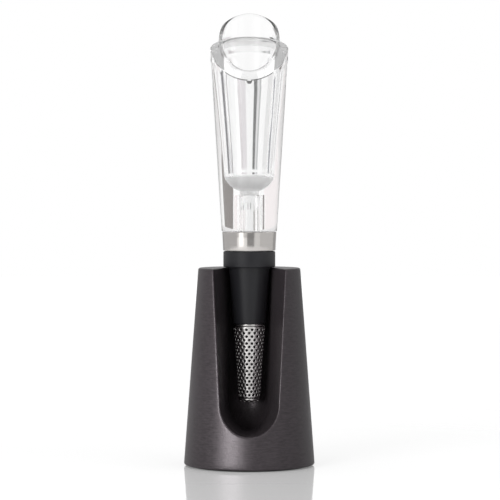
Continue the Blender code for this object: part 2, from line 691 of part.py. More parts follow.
def spout_section(angle):
    """The clear spout's whole section at one angle round its axis."""
    rear = math.cos(angle)
    groove_half = SEAL_RADIUS + GAP
    groove = SPOUT_LOW - SPIGOT_LENGTH / 2.0
    points = [(SPOUT_BORE, SPIGOT_LOW), (SPIGOT_RADIUS, SPIGOT_LOW),
              (SPIGOT_RADIUS, groove - groove_half), (GROOVE_RADIUS, groove - groove_half),
              (GROOVE_RADIUS, groove + groove_half), (SPIGOT_RADIUS, groove + groove_half),
              (SPIGOT_RADIUS, SPOUT_LOW), (SPOUT_BASE_RADIUS - RING_EDGE, SPOUT_LOW),
              (SPOUT_BASE_RADIUS, SPOUT_LOW + RING_EDGE)]
    top = spout_top_section(rear)
    low_row, high_row = SPOUT_LOW + RING_EDGE, top[0][1]
    for share in (1.0 / 3.0, 2.0 / 3.0):
        height = low_row + (high_row - low_row) * share
        points.append((spout_radius(height), height))
    points += top
    start, end = top[-1][1], cavity_centre()
    for step in range(1, 7):
        height = start + (end - start) * step / 6.0
        points.append((cavity_radius(height), height))
    mouth = math.acos(NOZZLE_BORE / CAVITY_LOW_RADIUS)
    for step in range(1, 6):
        turn = mouth * step / 5.0
        points.append((CAVITY_LOW_RADIUS * math.cos(turn),
                       cavity_centre() - CUP_ROUND_HEIGHT * math.sin(turn)))
    points += [(NOZZLE_BORE, NOZZLE_SEAT), (SPOUT_BORE, NOZZLE_SEAT)]
    return points


def make_spout():
    """Clear spout, its seal ring and the nozzle tube in its bore."""
    clear = make_material("spout_acrylic", (0.98, 0.98, 0.98), 0.02, 0.0, 1.0, 1.49)
    add_object("spout_body", turned_shape(spout_section, LARGE_SIDES), clear)
    nozzle = [(NOZZLE_BORE, NOZZLE_LOW), (NOZZLE_FLANGE_RADIUS, NOZZLE_LOW),
              (NOZZLE_FLANGE_RADIUS, NOZZLE_FLANGE_TOP), (NOZZLE_RADIUS, NOZZLE_FLANGE_TOP),
              (NOZZLE_RADIUS, NOZZLE_TOP - RING_EDGE), (NOZZLE_RADIUS - RING_EDGE, NOZZLE_TOP),
              (NOZZLE_BORE, NOZZLE_TOP)]
    turned("nozzle_tube", nozzle, SMALL_SIDES,
           make_material("nozzle_acrylic", (0.97, 0.97, 0.97), 0.03, 0.0, 1.0, 1.49))
    centre = SPOUT_LOW - SPIGOT_LENGTH / 2.0
    seal = arc(SEAL_CIRCLE, centre, SEAL_RADIUS, 0.0, 360.0, SEAL_SIDES)[:-1]
    turned("spout_seal", seal, SMALL_SIDES,
           make_material("seal_silicone", (0.7, 0.7, 0.69), 0.6))


def main():
    clear_objects()
    make_stand_shell()
    make_stand_base()
    make_strainer()
    make_stopper()
    make_ring()
    make_spout()


main()
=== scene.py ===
"""Looks of a clear wine aerator pourer standing in its conical drip stand.

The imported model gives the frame.  Its shells, rings, seals and sheets are remade
here as fine surfaces on the same sizes, its ballast, base plate and screws get
better materials, and all stand in a pale studio.
"""

import math

import bmesh
import bpy
from bpy.props import FloatProperty, FloatVectorProperty, IntProperty, PointerProperty
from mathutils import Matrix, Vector


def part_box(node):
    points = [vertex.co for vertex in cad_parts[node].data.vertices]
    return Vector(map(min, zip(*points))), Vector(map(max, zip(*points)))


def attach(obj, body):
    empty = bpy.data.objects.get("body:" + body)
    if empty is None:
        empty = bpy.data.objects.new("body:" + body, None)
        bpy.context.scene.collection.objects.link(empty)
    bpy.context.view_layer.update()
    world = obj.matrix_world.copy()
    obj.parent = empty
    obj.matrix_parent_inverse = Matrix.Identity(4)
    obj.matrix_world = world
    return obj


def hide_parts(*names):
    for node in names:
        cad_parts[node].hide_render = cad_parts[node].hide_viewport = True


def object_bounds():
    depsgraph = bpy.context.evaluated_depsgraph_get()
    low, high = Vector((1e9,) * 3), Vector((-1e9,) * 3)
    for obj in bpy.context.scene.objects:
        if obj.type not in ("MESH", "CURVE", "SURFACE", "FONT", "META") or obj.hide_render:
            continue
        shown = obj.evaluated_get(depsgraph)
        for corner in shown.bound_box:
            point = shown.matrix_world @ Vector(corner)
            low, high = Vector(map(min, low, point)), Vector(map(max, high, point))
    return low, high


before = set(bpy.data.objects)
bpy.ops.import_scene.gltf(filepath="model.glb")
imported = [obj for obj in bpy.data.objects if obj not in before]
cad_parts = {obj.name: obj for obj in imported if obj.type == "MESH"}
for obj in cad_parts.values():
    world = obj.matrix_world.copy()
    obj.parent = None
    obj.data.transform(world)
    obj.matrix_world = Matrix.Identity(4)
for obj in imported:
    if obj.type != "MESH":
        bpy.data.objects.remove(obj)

bl_info = {
    "name": "Wine Aerator Pourer",
    "version": (1, 0, 0),
    "blender": (4, 5, 0),
    "location": "3D View > Sidebar > Pourer",
    "description": "Dresses a clear aerator pourer and its drip stand, with a pale studio",
    "category": "Object",
}

MM = 0.001
CAD_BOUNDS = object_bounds()
STAND_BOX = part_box("stand_shell")
SLEEVE_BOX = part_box("stopper_sleeve")
RING_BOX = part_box("steel_ring")
SPOUT_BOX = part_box("spout_body")
NOZZLE_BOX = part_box("nozzle_tube")
CORE_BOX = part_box("stopper_core")
WASHER_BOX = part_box("nozzle_washer")
SEAL_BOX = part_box("spout_seal")
COLLAR_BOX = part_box("strainer_collar")
BASKET_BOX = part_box("strainer_basket")
CAP_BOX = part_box("strainer_end_cap")
PAD_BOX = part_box("stand_foot_pad")
BALLAST_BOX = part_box("stand_ballast")


# Sizes and colours


def length(name, description, default):
    """A length that a user may change, in metres."""
    return FloatProperty(name=name, description=description, default=default,
                         min=0.0, unit="LENGTH", precision=5)


def share(name, description, default):
    """A plain number between nought and one."""
    return FloatProperty(name=name, description=description, default=default,
                         min=0.0, max=1.0, subtype="FACTOR")


def colour(name, description, default):
    """A linear colour."""
    return FloatVectorProperty(name=name, description=description, default=default,
                               min=0.0, max=1.0, size=3, subtype="COLOR")


class StandSettings(bpy.types.PropertyGroup):
    """Sizes and finish of the conical stand."""

    base_radius: length("Base radius", "Outer radius at the floor", 32.8 * MM)
    top_radius: length("Top radius", "Outer radius at the rim", 25.5 * MM)
    edge: length("Edge", "Rounding of rim and foot", 1.0 * MM)
    channel_radius: length("Channel radius", "Radius of the channel's round back", 10.6 * MM)
    low_spread: length("Low spread", "Extra half width at the channel's mouth, low down", 3.9 * MM)
    top_spread: length("Top spread", "Extra half width at the channel's mouth, on top", 7.4 * MM)
    floor_height: length("Channel floor", "Lowest point of the channel", 17.0 * MM)
    round_height: length("Scoop height", "Height of the channel's scooped end", 16.0 * MM)
    corner: length("Channel edge", "Rounding of the channel's front edge", 1.15 * MM)
    skirt: length("Skirt", "Thickness of the wall round the underside", 2.8 * MM)
    ledge: length("Ledge", "Width of the ledge that carries the base plate", 2.0 * MM)
    lacquer: colour("Lacquer", "Anthracite lacquer", (0.037, 0.031, 0.0345))


class StopperSettings(bpy.types.PropertyGroup):
    """Sizes and finish of the stopper and the ring."""

    cone_low: length("Cone, low", "Radius of the sleeve's lower end", 8.15 * MM)
    cone_top: length("Cone, top", "Radius of the cone under the collar", 10.3 * MM)
    collar_height: length("Collar height", "Height of the sleeve's collar", 8.0 * MM)
    collar_floor: length("Collar floor", "Thickness under the core's socket", 1.8 * MM)
    edge: length("Edge", "Rounding of the sleeve's edges", 0.6 * MM)
    sleeve_bore: length("Sleeve bore", "Bore round the core's stem", 6.9 * MM)
    socket_bore: length("Sleeve socket", "Bore round the core's socket", 11.5 * MM)
    ring_bore: length("Ring bore", "Inner radius of the steel ring", 12.2 * MM)
    ring_low: length("Ring, low", "Ring's radius at its lower edge", 13.1 * MM)
    ring_top: length("Ring, top", "Ring's radius at its upper edge", 13.6 * MM)
    ring_edge: length("Ring edge", "Rounding of the ring's edges", 0.3 * MM)
    rubber: colour("Sleeve", "Black silicone", (0.010, 0.010, 0.012))
    steel: colour("Steel", "Brushed steel of the ring", (0.62, 0.595, 0.575))


class SpoutSettings(bpy.types.PropertyGroup):
    """Sizes and finish of the clear spout and its nozzle."""

    base_radius: length("Base radius", "Outer radius above the ring", 13.85 * MM)
    cone_radius: length("Cone radius", "Outer radius below the bead", 19.0 * MM)
    cone_height: length("Cone height", "Height over which the cone widens", 82.6 * MM)
    bead_radius: length("Bead radius", "Radius of the thick edge under the lip", 19.5 * MM)
    bead_height: length("Bead height", "Height of that thick edge", 8.0 * MM)
    shoulder: length("Shoulder", "Height of the shoulder's middle above the ring", 92.5 * MM)
    lip_radius: length("Lip radius", "Outer radius of the thin lip", 15.25 * MM)
    lip_wall: length("Lip wall", "Thickness of the lip", 1.7 * MM)
    lip_height: length("Lip height", "Height of the mouth's middle above the ring", 94.1 * MM)
    lip_rise: length("Lip rise", "How far the lip rises at the rear", 16.0 * MM)
    lip_drop: length("Lip drop", "How far the mouth falls to the front", 20.5 * MM)
    lip_swell: length("Lip swell", "How far the lip's sides bulge above a plane cut", 2.1 * MM)
    cup_radius: length("Cup radius", "Radius of the cup above its round bottom", 8.6 * MM)
    cup_depth: length("Cup depth", "Height of the cup's round bottom", 10.2 * MM)
    nib: length("Nib", "How far the small nib at the front of the rim stands out", 0.35 * MM)
    spigot_radius: length("Spigot radius", "Radius of the plug below", 9.6 * MM)
    bore: length("Bore", "Bore round the nozzle tube", 5.4 * MM)
    nozzle_radius: length("Nozzle radius", "Outer radius of the nozzle tube", 5.1 * MM)
    nozzle_bore: length("Nozzle bore", "Inner radius of the nozzle tube", 3.2 * MM)
    cup_floor: length("Cup floor", "Height of the cup's floor above the ring", 19.6 * MM)
    floor_web: length("Floor web", "Thickness under the cup's floor", 1.2 * MM)
    bead_lean: share("Bead's lean", "How much the thick edge leans inwards", 0.07)
    tint: colour("Acrylic", "Colour of the clear acrylic", (0.992, 0.992, 0.992))


class StrainerSettings(bpy.types.PropertyGroup):
    """Sizes and finish of the strainer."""

    low_radius: length("Low radius", "Basket's radius at its lower end", 5.35 * MM)
    neck_radius: length("Neck radius", "Basket's radius where it starts to flare", 7.5 * MM)
    top_radius: length("Top radius", "Basket's radius under the flange", 7.95 * MM)
    straight: length("Straight length", "Length of the basket's plain cone", 31.8 * MM)
    wall: length("Wall", "Thickness of the sheet", 0.5 * MM)
    border: length("Border", "Plain border of the sheet", 0.35 * MM)
    columns: IntProperty(name="Columns", description="Holes in one row", default=16, min=6)
    rows: IntProperty(name="Rows", description="Rows of holes", default=20, min=2)
    cap_columns: IntProperty(name="Cap columns", description="Holes in one row of the cap",
                             default=12, min=5)
    cap_rows: IntProperty(name="Cap rows", description="Rows of holes in the cap",
                          default=3, min=1)
    hole: share("Hole size", "Radius of a hole as a share of the rows' pitch", 0.36)
    steel: colour("Steel", "Bright steel of the sheet", (0.72, 0.70, 0.69))


class StudioSettings(bpy.types.PropertyGroup):
    """Camera and floor."""

    distance: length("Distance", "Camera's distance from the pourer's axis", 1.23)
    height: length("Camera height", "Camera's height above the floor", 140.35 * MM)
    aim: length("Aim", "Height that the camera looks at", 107.85 * MM)
    aside: length("Aside", "Camera's place to the right of the axis", 0.35 * MM)
    field: length("Field", "Width that the picture covers at the axis", 250.0 * MM)
    floor_size: length("Floor size", "Width of the floor", 5.0)
    floor_colour: colour("Floor", "Colour of the floor", (0.66, 0.66, 0.66))
    floor_glow: share("Floor glow", "Light that the floor adds for the camera", 0.19)
    floor_mirror: share("Floor mirror", "How much of the floor is a mirror", 0.35)


# Shaders


FLOAT, COLOUR = "NodeSocketFloat", "NodeSocketColor"
PATTERN_INPUTS = (("Low", FLOAT, 0.3), ("High", FLOAT, 0.45),
                  ("Colour", COLOUR, (0.5, 0.5, 0.5, 1.0)), ("Shade", FLOAT, 0.1))
PATTERN_OUTPUTS = (("Roughness", FLOAT), ("Height", FLOAT), ("Colour", COLOUR))
BUMP_DEPTH = 0.05 * MM
ACRYLIC_IOR = 1.49

# Textured finishes: pattern, its lines or grains per metre, lowest and highest roughness,
# metal, shade, bump, and the colour unless a setting gives it
FINISHES = {
    "anthracite_lacquer": ("turned_lines", 1500.0, 0.25, 0.51, 0.55, 0.70, 1.0, None),
    "ballast_turned_steel": ("turned_lines", 5000.0, 0.3, 0.5, 1.0, 0.2, 0.4, (0.30, 0.30, 0.31)),
    "base_plate_coat": ("fine_grain", 2500.0, 0.45, 0.6, 0.0, 0.2, 0.3, (0.03, 0.03, 0.032)),
    "zinc_plating": ("fine_grain", 1500.0, 0.25, 0.4, 1.0, 0.1, 0.2, (0.60, 0.60, 0.60)),
    "pad_rubber": ("fine_grain", 1800.0, 0.75, 0.95, 0.0, 0.3, 0.8, (0.02, 0.02, 0.02)),
    "black_silicone": ("fine_grain", 2600.0, 0.36, 0.46, 0.0, 0.15, 0.12, None),
    "core_plastic": ("fine_grain", 3000.0, 0.4, 0.55, 0.0, 0.06, 0.2, (0.55, 0.54, 0.53)),
    "pale_silicone": ("fine_grain", 2200.0, 0.45, 0.6, 0.0, 0.06, 0.2, (0.70, 0.70, 0.69)),
    "ring_brushed_steel": ("turned_lines", 6000.0, 0.10, 0.18, 1.0, 0.05, 0.05, None),
    "strainer_steel": ("turned_lines", 3000.0, 0.16, 0.30, 1.0, 0.05, 0.08, None),
    # The next row is a darker copy of the strainer steel for the sheet's inner face: painted
    # shade.
    "strainer_inside_painted_shade": ("fine_grain", 2500.0, 0.5, 0.7, 0.6, 0.1, 0.1, (0.10, 0.095, 0.095)),
}

# The spout's finishes in the order of its material slots: grey of the acrylic unless the
# setting gives it, highest roughness of the marks, share of haze
SPOUT_FINISHES = (
    ("clear_acrylic", None, 0.012, 0.03),
    ("cup_floor_acrylic", None, 0.25, 0.92),
    ("bead_acrylic", None, 0.10, 0.16),
    # Dark grey line along the front rim and a dark spot on its nib: painted shade.
    ("front_rim_painted_shade", 0.10, 0.10, 0.75),
    ("rear_band_acrylic", None, 0.10, 0.45),
    ("lip_acrylic", None, 0.012, 0.008),
    # Grey outline on the rear lip's top edge: painted shade.
    ("lip_edge_painted_shade", 0.60, 0.05, 0.4),
    ("cut_face_acrylic", None, 0.10, 0.26),
    ("shoulder_acrylic", None, 0.10, 0.62),
)
CLEAR, CUP_FLOOR, BEAD, FRONT_RIM_PAINTED_SHADE, REAR_BAND, LIP, LIP_EDGE_PAINTED_SHADE, CUT_FACE, SHOULDER = range(9)


def feed(tree, node, inputs):
    """Give each named input of a node a value, or join it to a socket; returns the node."""
    for label, value in inputs.items():
        if isinstance(value, bpy.types.NodeSocket):
            tree.links.new(value, node.inputs[label])
        else:
            node.inputs[label].default_value = value
    return node


def add(tree, kind, inputs=None, **fields):
    """A new node with its fields set and its inputs fed."""
    node = tree.nodes.new(kind)
    for field, value in fields.items():
        setattr(node, field, value)
    return feed(tree, node, inputs or {})


def math_node(tree, operation, first, second=0.0):
    """The result of one Math node whose inputs are sockets or numbers."""
    return add(tree, "ShaderNodeMath", {0: first, 1: second}, operation=operation).outputs[0]


def ramp(tree, value, low, high, start=0.0, end=1.0, change="LINEAR"):
    """A value carried from start and end onto low and high, and kept between them."""
    return add(tree, "ShaderNodeMapRange",
               {"Value": value, "From Min": start, "From Max": end, "To Min": low,
                "To Max": high}, interpolation_type=change).outputs["Result"]


def noise(tree, vector, scale, detail, roughness):
    """The factor of a Noise texture."""
    return add(tree, "ShaderNodeTexNoise",
               {"Vector": vector, "Scale": scale, "Detail": detail,
                "Roughness": roughness}).outputs["Fac"]


def own_place(tree):
    """The shaded point's place on its own piece."""
    return add(tree, "ShaderNodeTexCoord").outputs["Object"]


def shader_group(name, inputs, outputs):
    """An empty shader node group, with the sockets that it gets and gives."""
    group = bpy.data.node_groups.new(name, "ShaderNodeTree")
    for label, kind, default in inputs:
        socket = group.interface.new_socket(label, in_out="INPUT", socket_type=kind)
        socket.default_value = default
    for label, kind in outputs:
        group.interface.new_socket(label, in_out="OUTPUT", socket_type=kind)
    return group, add(group, "NodeGroupInput").outputs, add(group, "NodeGroupOutput")


def give_pattern(group, given, result, mask, height):
    """Let roughness and tone follow a mask, and pass on the height for the bump."""
    dark = math_node(group, "SUBTRACT", 1.0, given["Shade"])
    light = math_node(group, "ADD", 1.0, given["Shade"])
    tone = add(group, "ShaderNodeHueSaturation",
               {"Color": given["Colour"], "Value": ramp(group, mask, dark, light)})
    feed(group, result, {"Roughness": ramp(group, mask, given["Low"], given["High"]),
                         "Height": height, "Colour": tone.outputs["Color"]})


def turned_lines_group():
    """Fine lines round the axis, as turning or brushing leaves them."""
    group, given, result = shader_group(
        "turned_lines", (("Per Metre", FLOAT, 4000.0), *PATTERN_INPUTS, ("Breaks", FLOAT, 0.6)),
        PATTERN_OUTPUTS)
    parts = add(group, "ShaderNodeSeparateXYZ", {0: own_place(group)}).outputs
    turn = math_node(group, "ARCTAN2", parts["X"], parts["Y"])
    round_x, round_y = (math_node(group, "MULTIPLY", math_node(group, operation, turn),
                                  given["Breaks"]) for operation in ("COSINE", "SINE"))
    up = math_node(group, "MULTIPLY", parts["Z"], given["Per Metre"])
    spot = add(group, "ShaderNodeCombineXYZ", {"X": round_x, "Y": round_y, "Z": up})
    lines = noise(group, spot.outputs[0], 1.0, 4.0, 0.65)
    give_pattern(group, given, result, lines, lines)
    return group


def fine_grain_group():
    """Fine grain of moulded rubber and plastic, with faint clouds."""
    group, given, result = shader_group(
        "fine_grain", (("Per Metre", FLOAT, 3000.0), *PATTERN_INPUTS), PATTERN_OUTPUTS)
    place = own_place(group)
    grain = noise(group, place, given["Per Metre"], 3.0, 0.6)
    cloud = noise(group, place, 90.0, 2.0, 0.5)
    both = math_node(group, "ADD", math_node(group, "MULTIPLY", grain, 0.6),
                     math_node(group, "MULTIPLY", cloud, 0.4))
    give_pattern(group, given, result, both, grain)
    return group


def handling_marks_group():
    """Faint cloudy marks that handling leaves on a polished surface."""
    group, given, result = shader_group(
        "handling_marks", (("Low", FLOAT, 0.0), ("High", FLOAT, 0.03)), (("Roughness", FLOAT),))
    place = own_place(group)
    cloud = noise(group, place, 60.0, 3.0, 0.5)
    smear = noise(group, place, 420.0, 2.0, 0.6)
    marks = ramp(group, math_node(group, "MULTIPLY", cloud, smear), given["Low"],
                 given["High"], 0.05, 0.55)
    feed(group, result, {"Roughness": marks})
    return group


def shared_group(name):
    """One of the shared groups, built when it is first asked for."""
    makers = {"turned_lines": turned_lines_group, "fine_grain": fine_grain_group,
              "handling_marks": handling_marks_group}
    return bpy.data.node_groups.get(name) or makers[name]()


def principled(name):
    """A new material, its nodes and its Principled shader."""
    material = bpy.data.materials.new(name)
    material.use_nodes = True
    return material, material.node_tree, material.node_tree.nodes["Principled BSDF"]


def textured(name, tint=None, anisotropy=0.0, specular=0.5, breaks=0.6):
    """One of the textured finishes, whose colour, roughness and bump come from its pattern."""
    pattern_name, per_metre, low, high, metal, shade, bump, own_tint = FINISHES[name]
    tint = (*(tint or own_tint), 1.0)
    material, tree, shader = principled(name)
    pattern = add(tree, "ShaderNodeGroup",
                  {"Per Metre": per_metre, "Low": low, "High": high, "Colour": tint,
                   "Shade": shade}, node_tree=shared_group(pattern_name))
    if pattern_name == "turned_lines":
        feed(tree, pattern, {"Breaks": breaks})
    relief = add(tree, "ShaderNodeBump", {"Strength": bump, "Distance": BUMP_DEPTH,
                                          "Height": pattern.outputs["Height"]})
    feed(tree, shader, {"Base Color": pattern.outputs["Colour"],
                        "Roughness": pattern.outputs["Roughness"],
                        "Normal": relief.outputs["Normal"], "Metallic": metal,
                        "Anisotropic": anisotropy, "Specular IOR Level": specular})
    material.diffuse_color = tint
    return material


def clear_acrylic(name, tint, marks, haze):
    """Clear acrylic with faint handling marks and a little haze."""
    material, tree, shader = principled(name)
    worn = add(tree, "ShaderNodeGroup", {"High": marks}, node_tree=shared_group("handling_marks"))
    feed(tree, shader, {"Roughness": worn.outputs["Roughness"], "Base Color": (*tint, 1.0),
                        "Transmission Weight": 1.0 - haze, "IOR": ACRYLIC_IOR})
    material.diffuse_color = (*tint, 0.4)
    return material


# Meshes


CLEARANCE = 0.3 * MM
QUARTERS = (0.25, 0.5, 0.75)


def shares(steps, first=0, last=0):
    """Even shares from nought to one; first and last say how many to leave out at each end."""
    return [step / steps for step in range(first, steps + 1 - last)]


def quarter_turn(steps, first=0):
    """Even angles over a quarter turn, in radians."""
    return [math.pi / 2.0 * part for part in shares(steps, first)]


def levels(start, end, parts):
    """Numbers at the given shares of the way from start to end."""
    return [start + (end - start) * part for part in parts]


def smooth_share(value):
    """An even blend from nought to one."""
    value = max(0.0, min(1.0, value))
    return value * value * (3.0 - 2.0 * value)


def arc(across, up, radius, start, end, steps=5):
    """Points on an arc in the section plane, angles in degrees from outwards to up."""
    angles = [math.radians(angle) for angle in levels(start, end, shares(steps))]
    return [(across + radius * math.cos(a), up + radius * math.sin(a)) for a in angles]


def along(start, end, parts):
    """Points at the given shares of a straight run between two section points."""
    return list(zip(levels(start[0], end[0], parts), levels(start[1], end[1], parts)))


def middle_and_half(box):
    """Height of a box's middle, and half of its height."""
    low, top = box[0][2], box[1][2]
    return (low + top) / 2.0, (top - low) / 2.0


def rounded_side(radius, low, top, edge, steps=5):
    """The outer side of a turned piece with both its edges rounded."""
    return (arc(radius - edge, low + edge, edge, -90.0, 0.0, steps)
            + arc(radius - edge, top - edge, edge, 0.0, 90.0, steps))


def join_rows(shape, first, second, closed=True):
    """A strip of four-sided faces between two rows of vertices."""
    count = len(first)
    for index in range(count if closed else count - 1):
        after = (index + 1) % count
        shape.faces.new((first[index], first[after], second[after], second[index]))


def turned_mesh(shape, section_at, sides, closed=True):
    """Add a surface turned round the Z axis to a bmesh.

    section_at gives the (radius, height) points at an angle that runs from
    the rear towards the right.
    """
    rings = []
    for part in shares(sides, last=1):
        angle = math.tau * part
        x, y = math.sin(angle), math.cos(angle)
        rings.append([shape.verts.new((radius * x, radius * y, height))
                      for radius, height in section_at(angle)])
    for here, there in zip(rings, rings[1:] + rings[:1]):
        join_rows(shape, here, there, closed)


def taken_mesh(name, shape):
    """A mesh made from a bmesh, which is freed."""
    mesh = bpy.data.meshes.new(name)
    shape.to_mesh(mesh)
    shape.free()
    return mesh


def new_object(name, data):
    """A new object at the origin, linked to the scene."""
    made = bpy.data.objects.new(name, data)
    bpy.context.scene.collection.objects.link(made)
    return made


def finish_mesh(name, shape, material, sharp=40.0):
    """Close, orient and smooth a bmesh, and link it as an object at the origin."""
    bmesh.ops.remove_doubles(shape, verts=shape.verts, dist=0.002 * MM)
    bmesh.ops.recalc_face_normals(shape, faces=shape.faces)
    mesh = taken_mesh(name, shape)
    mesh.shade_smooth()
    mesh.set_sharp_from_angle(angle=math.radians(sharp))
    mesh.materials.append(material)
    return new_object(name, mesh)


def turned_piece(name, section, material, sides=160, closed=True):
    """A round piece with the same section all round."""
    shape = bmesh.new()
    turned_mesh(shape, lambda angle: section, sides, closed)
    return finish_mesh(name, shape, material)


def settle(piece, body, node):
    """Let a piece ride on its body and stand for its node, which is hidden."""
    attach(piece, body)
    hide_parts(node)


def dress(node, material):
    """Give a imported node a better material."""
    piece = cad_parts[node]
    piece.data.materials.clear()
    piece.data.materials.append(material)


# Stand


STAND_SIDES, CHANNEL_SIDES = 72, 24
POST_HOLE, POST_RADIUS, POST_INSET = 1.5 * MM, 3.2 * MM, 4.8 * MM


def stand_surface_radius(settings, height):
    """Outer radius of the stand's cone at a height."""
    taper = settings.top_radius - settings.base_radius
    return settings.base_radius + taper * height / STAND_BOX[1][2]


def stand_row(settings, height, inset, turn):
    """The stand's outer path, rounded front edge and channel path for one row.

    Turn runs from nought above the scooped end to a quarter turn at its
    lowest point, where the channel closes to a line.
    """
    squeeze = max(0.0, math.cos(turn))
    start = settings.floor_height + settings.round_height
    rise = max(0.0, (height - start) / (STAND_BOX[1][2] - start))
    spread_now = settings.low_spread + (settings.top_spread - settings.low_spread) * rise
    radius = stand_surface_radius(settings, height) - inset
    back = (settings.channel_radius + inset) * squeeze
    half = (settings.channel_radius + spread_now + inset) * squeeze
    mouth = math.asin(half / radius)
    across = settings.round_height * math.cos(turn)
    down = (settings.channel_radius + settings.low_spread) * math.sin(turn)
    size = math.hypot(across, down)
    corner = settings.corner
    angle_out = mouth + corner * across / size / radius
    drop_out = -corner * down / size
    outer = []
    for part in shares(STAND_SIDES):
        angle = angle_out + (math.pi - angle_out) * part
        level = height + drop_out * (1.0 - part) ** 3
        here = stand_surface_radius(settings, level) - inset
        outer.append(Vector((here * math.sin(angle), -here * math.cos(angle), level)))
    lip = Vector((half, -radius * math.cos(mouth), height))
    reach = math.atan2(lip.y, lip.x) + math.acos(min(1.0, back / math.hypot(lip.x, lip.y)))
    touch = Vector((back * math.cos(reach), back * math.sin(reach), height))
    first = corner / (touch - lip).length
    wall = [lip.lerp(touch, part) for part in levels(first, 1.0, shares(STAND_SIDES // 2, last=1))]
    wall += [Vector((back * math.cos(angle), back * math.sin(angle), height))
             for angle in levels(reach, math.pi / 2.0, shares(CHANNEL_SIDES))]
    bend = [outer[0].lerp(lip, part).lerp(lip.lerp(wall[0], part), part)
            for part in shares(5, 1, 1)]
    half_path = outer[::-1] + bend + wall
    mirrored = [Vector((-p.x, p.y, p.z)) for p in half_path[::-1]]
    return half_path + mirrored[1:-1], len(outer), len(bend), len(wall)


def stand_rows(settings):
    """Height, inset and turn of every row from the rim down to the scoop's floor."""
    top, edge = STAND_BOX[1][2], settings.edge
    low = settings.floor_height + settings.round_height
    rows = [(top - edge * (1.0 - math.cos(angle)), edge * (1.0 - math.sin(angle)), 0.0)
            for angle in quarter_turn(5)]
    rows += [(height, 0.0, 0.0) for height in levels(top - edge, low, shares(30, 1))]
    turns = quarter_turn(40, 1)
    # The row next to the closing line would cross it, so it is left out
    del turns[-2]
    return rows + [(low - settings.round_height * math.sin(turn), 0.0, turn) for turn in turns]


def stand_mesh(settings):
    """The stand's cone with its channel, hollow foot and screw posts."""
    shape = bmesh.new()
    loops = []
    for height, inset, turn in stand_rows(settings):
        path, outer, bend, wall = stand_row(settings, height, inset, turn)
        loops.append([shape.verts.new(point) for point in path])
    for upper, lower in zip(loops, loops[1:]):
        join_rows(shape, upper, lower)
    close_rim(shape, loops[0], outer, bend, wall)
    last, count, steps = loops[-1], len(loops[-1]), 2 * (outer - 1)
    previous = last[:outer] + [last[(count - index) % count] for index in range(outer - 2, -1, -1)]
    low = STAND_BOX[0][2]
    base = [(settings.floor_height * part, 0.0) for part in QUARTERS[::-1]]
    base += [(low + settings.edge * (1.0 - math.sin(angle)),
              settings.edge * (1.0 - math.cos(angle))) for angle in quarter_turn(5)]
    foot = settings.base_radius - settings.skirt
    ledge = foot - settings.ledge
    plate_top, hollow_top = BALLAST_BOX[0][2], BALLAST_BOX[1][2] + CLEARANCE
    rings = [(stand_surface_radius(settings, height) - inset, height) for height, inset in base]
    rings += [(foot, low), (foot, plate_top), (ledge, plate_top), (ledge, hollow_top),
              (ledge / 2.0, hollow_top)]
    for radius, height in rings:
        ring = [shape.verts.new((radius * math.sin(angle), -radius * math.cos(angle), height))
                for angle in levels(math.pi, -math.pi, shares(steps))]
        join_rows(shape, previous, ring, closed=False)
        previous = ring
    centre = shape.verts.new((0.0, 0.0, hollow_top))
    for here, there in zip(previous, previous[1:]):
        shape.faces.new((here, there, centre))
    add_posts(shape, ledge - POST_INSET, plate_top, hollow_top)
    return shape


def close_rim(shape, loop, outer, bend, wall):
    """Fill the flat rim between the outer path and the channel path, on both sides."""
    count = len(loop)
    for mirrored in (False, True):
        side = [loop[(count - index) % count if mirrored else index]
                for index in range(outer + bend + wall)]
        out, front, channel = side[:outer][::-1], side[outer:outer + bend], side[outer + bend:]
        steps, last = len(out) - 1, len(channel) - 1
        for index in range(steps):
            low, high = (min(last, round(near * last / steps)) for near in (index, index + 1))
            shape.faces.new([out[index], out[index + 1]] + channel[low:high + 1][::-1])
        shape.faces.new([out[0]] + front + [channel[0]])


def add_posts(shape, place, low, top):
    """Three hollow posts for the base plate's screws."""
    post = [(POST_HOLE, low), (POST_RADIUS, low), (POST_RADIUS, top), (POST_HOLE, top)]
    for index in range(3):
        angle = math.tau * index / 3.0
        posts = bmesh.new()
        turned_mesh(posts, lambda turn: post, 32)
        bmesh.ops.translate(posts, verts=posts.verts,
                            vec=(place * math.sin(angle), place * math.cos(angle), 0.0))
        part = taken_mesh("post", posts)
        shape.from_mesh(part)
        bpy.data.meshes.remove(part)


def pad_section():
    """Flat disc with a rounded side, for the pad under the stand."""
    low, top, radius = PAD_BOX[0][2], PAD_BOX[1][2], PAD_BOX[1][0]
    section = [(radius * part, low) for part in (0.0, 0.5, 0.94)]
    section += rounded_side(radius, low, top, 0.3 * MM, 4)
    return section + [(radius * 0.5, top), (0.0, top)]


class POURER_OT_stand(bpy.types.Operator):
    """Remake the stand and finish its plate, ballast, screws and pad"""

    bl_idname = "pourer.stand"
    bl_label = "Stand"

    def execute(self, context):
        settings = context.scene.pourer_stand
        lacquer = textured("anthracite_lacquer", settings.lacquer, anisotropy=0.2, breaks=9.0)
        piece = finish_mesh("stand_skin", stand_mesh(settings), lacquer, sharp=50.0)
        settle(piece, "stand", "stand_shell")
        dress("stand_ballast", textured("ballast_turned_steel"))
        dress("stand_base_plate", textured("base_plate_coat"))
        zinc = textured("zinc_plating")
        for index in (1, 2, 3):
            dress(f"base_screw_{index}", zinc)
        pad = turned_piece("foot_pad", pad_section(), textured("pad_rubber"), 128, closed=False)
        settle(pad, "stand", "stand_foot_pad")
        return {"FINISHED"}


# Stopper and ring


STEM_BORE, SOCKET_FLOOR, CORE_BORE = 4.6 * MM, 1.2 * MM, 9.9 * MM


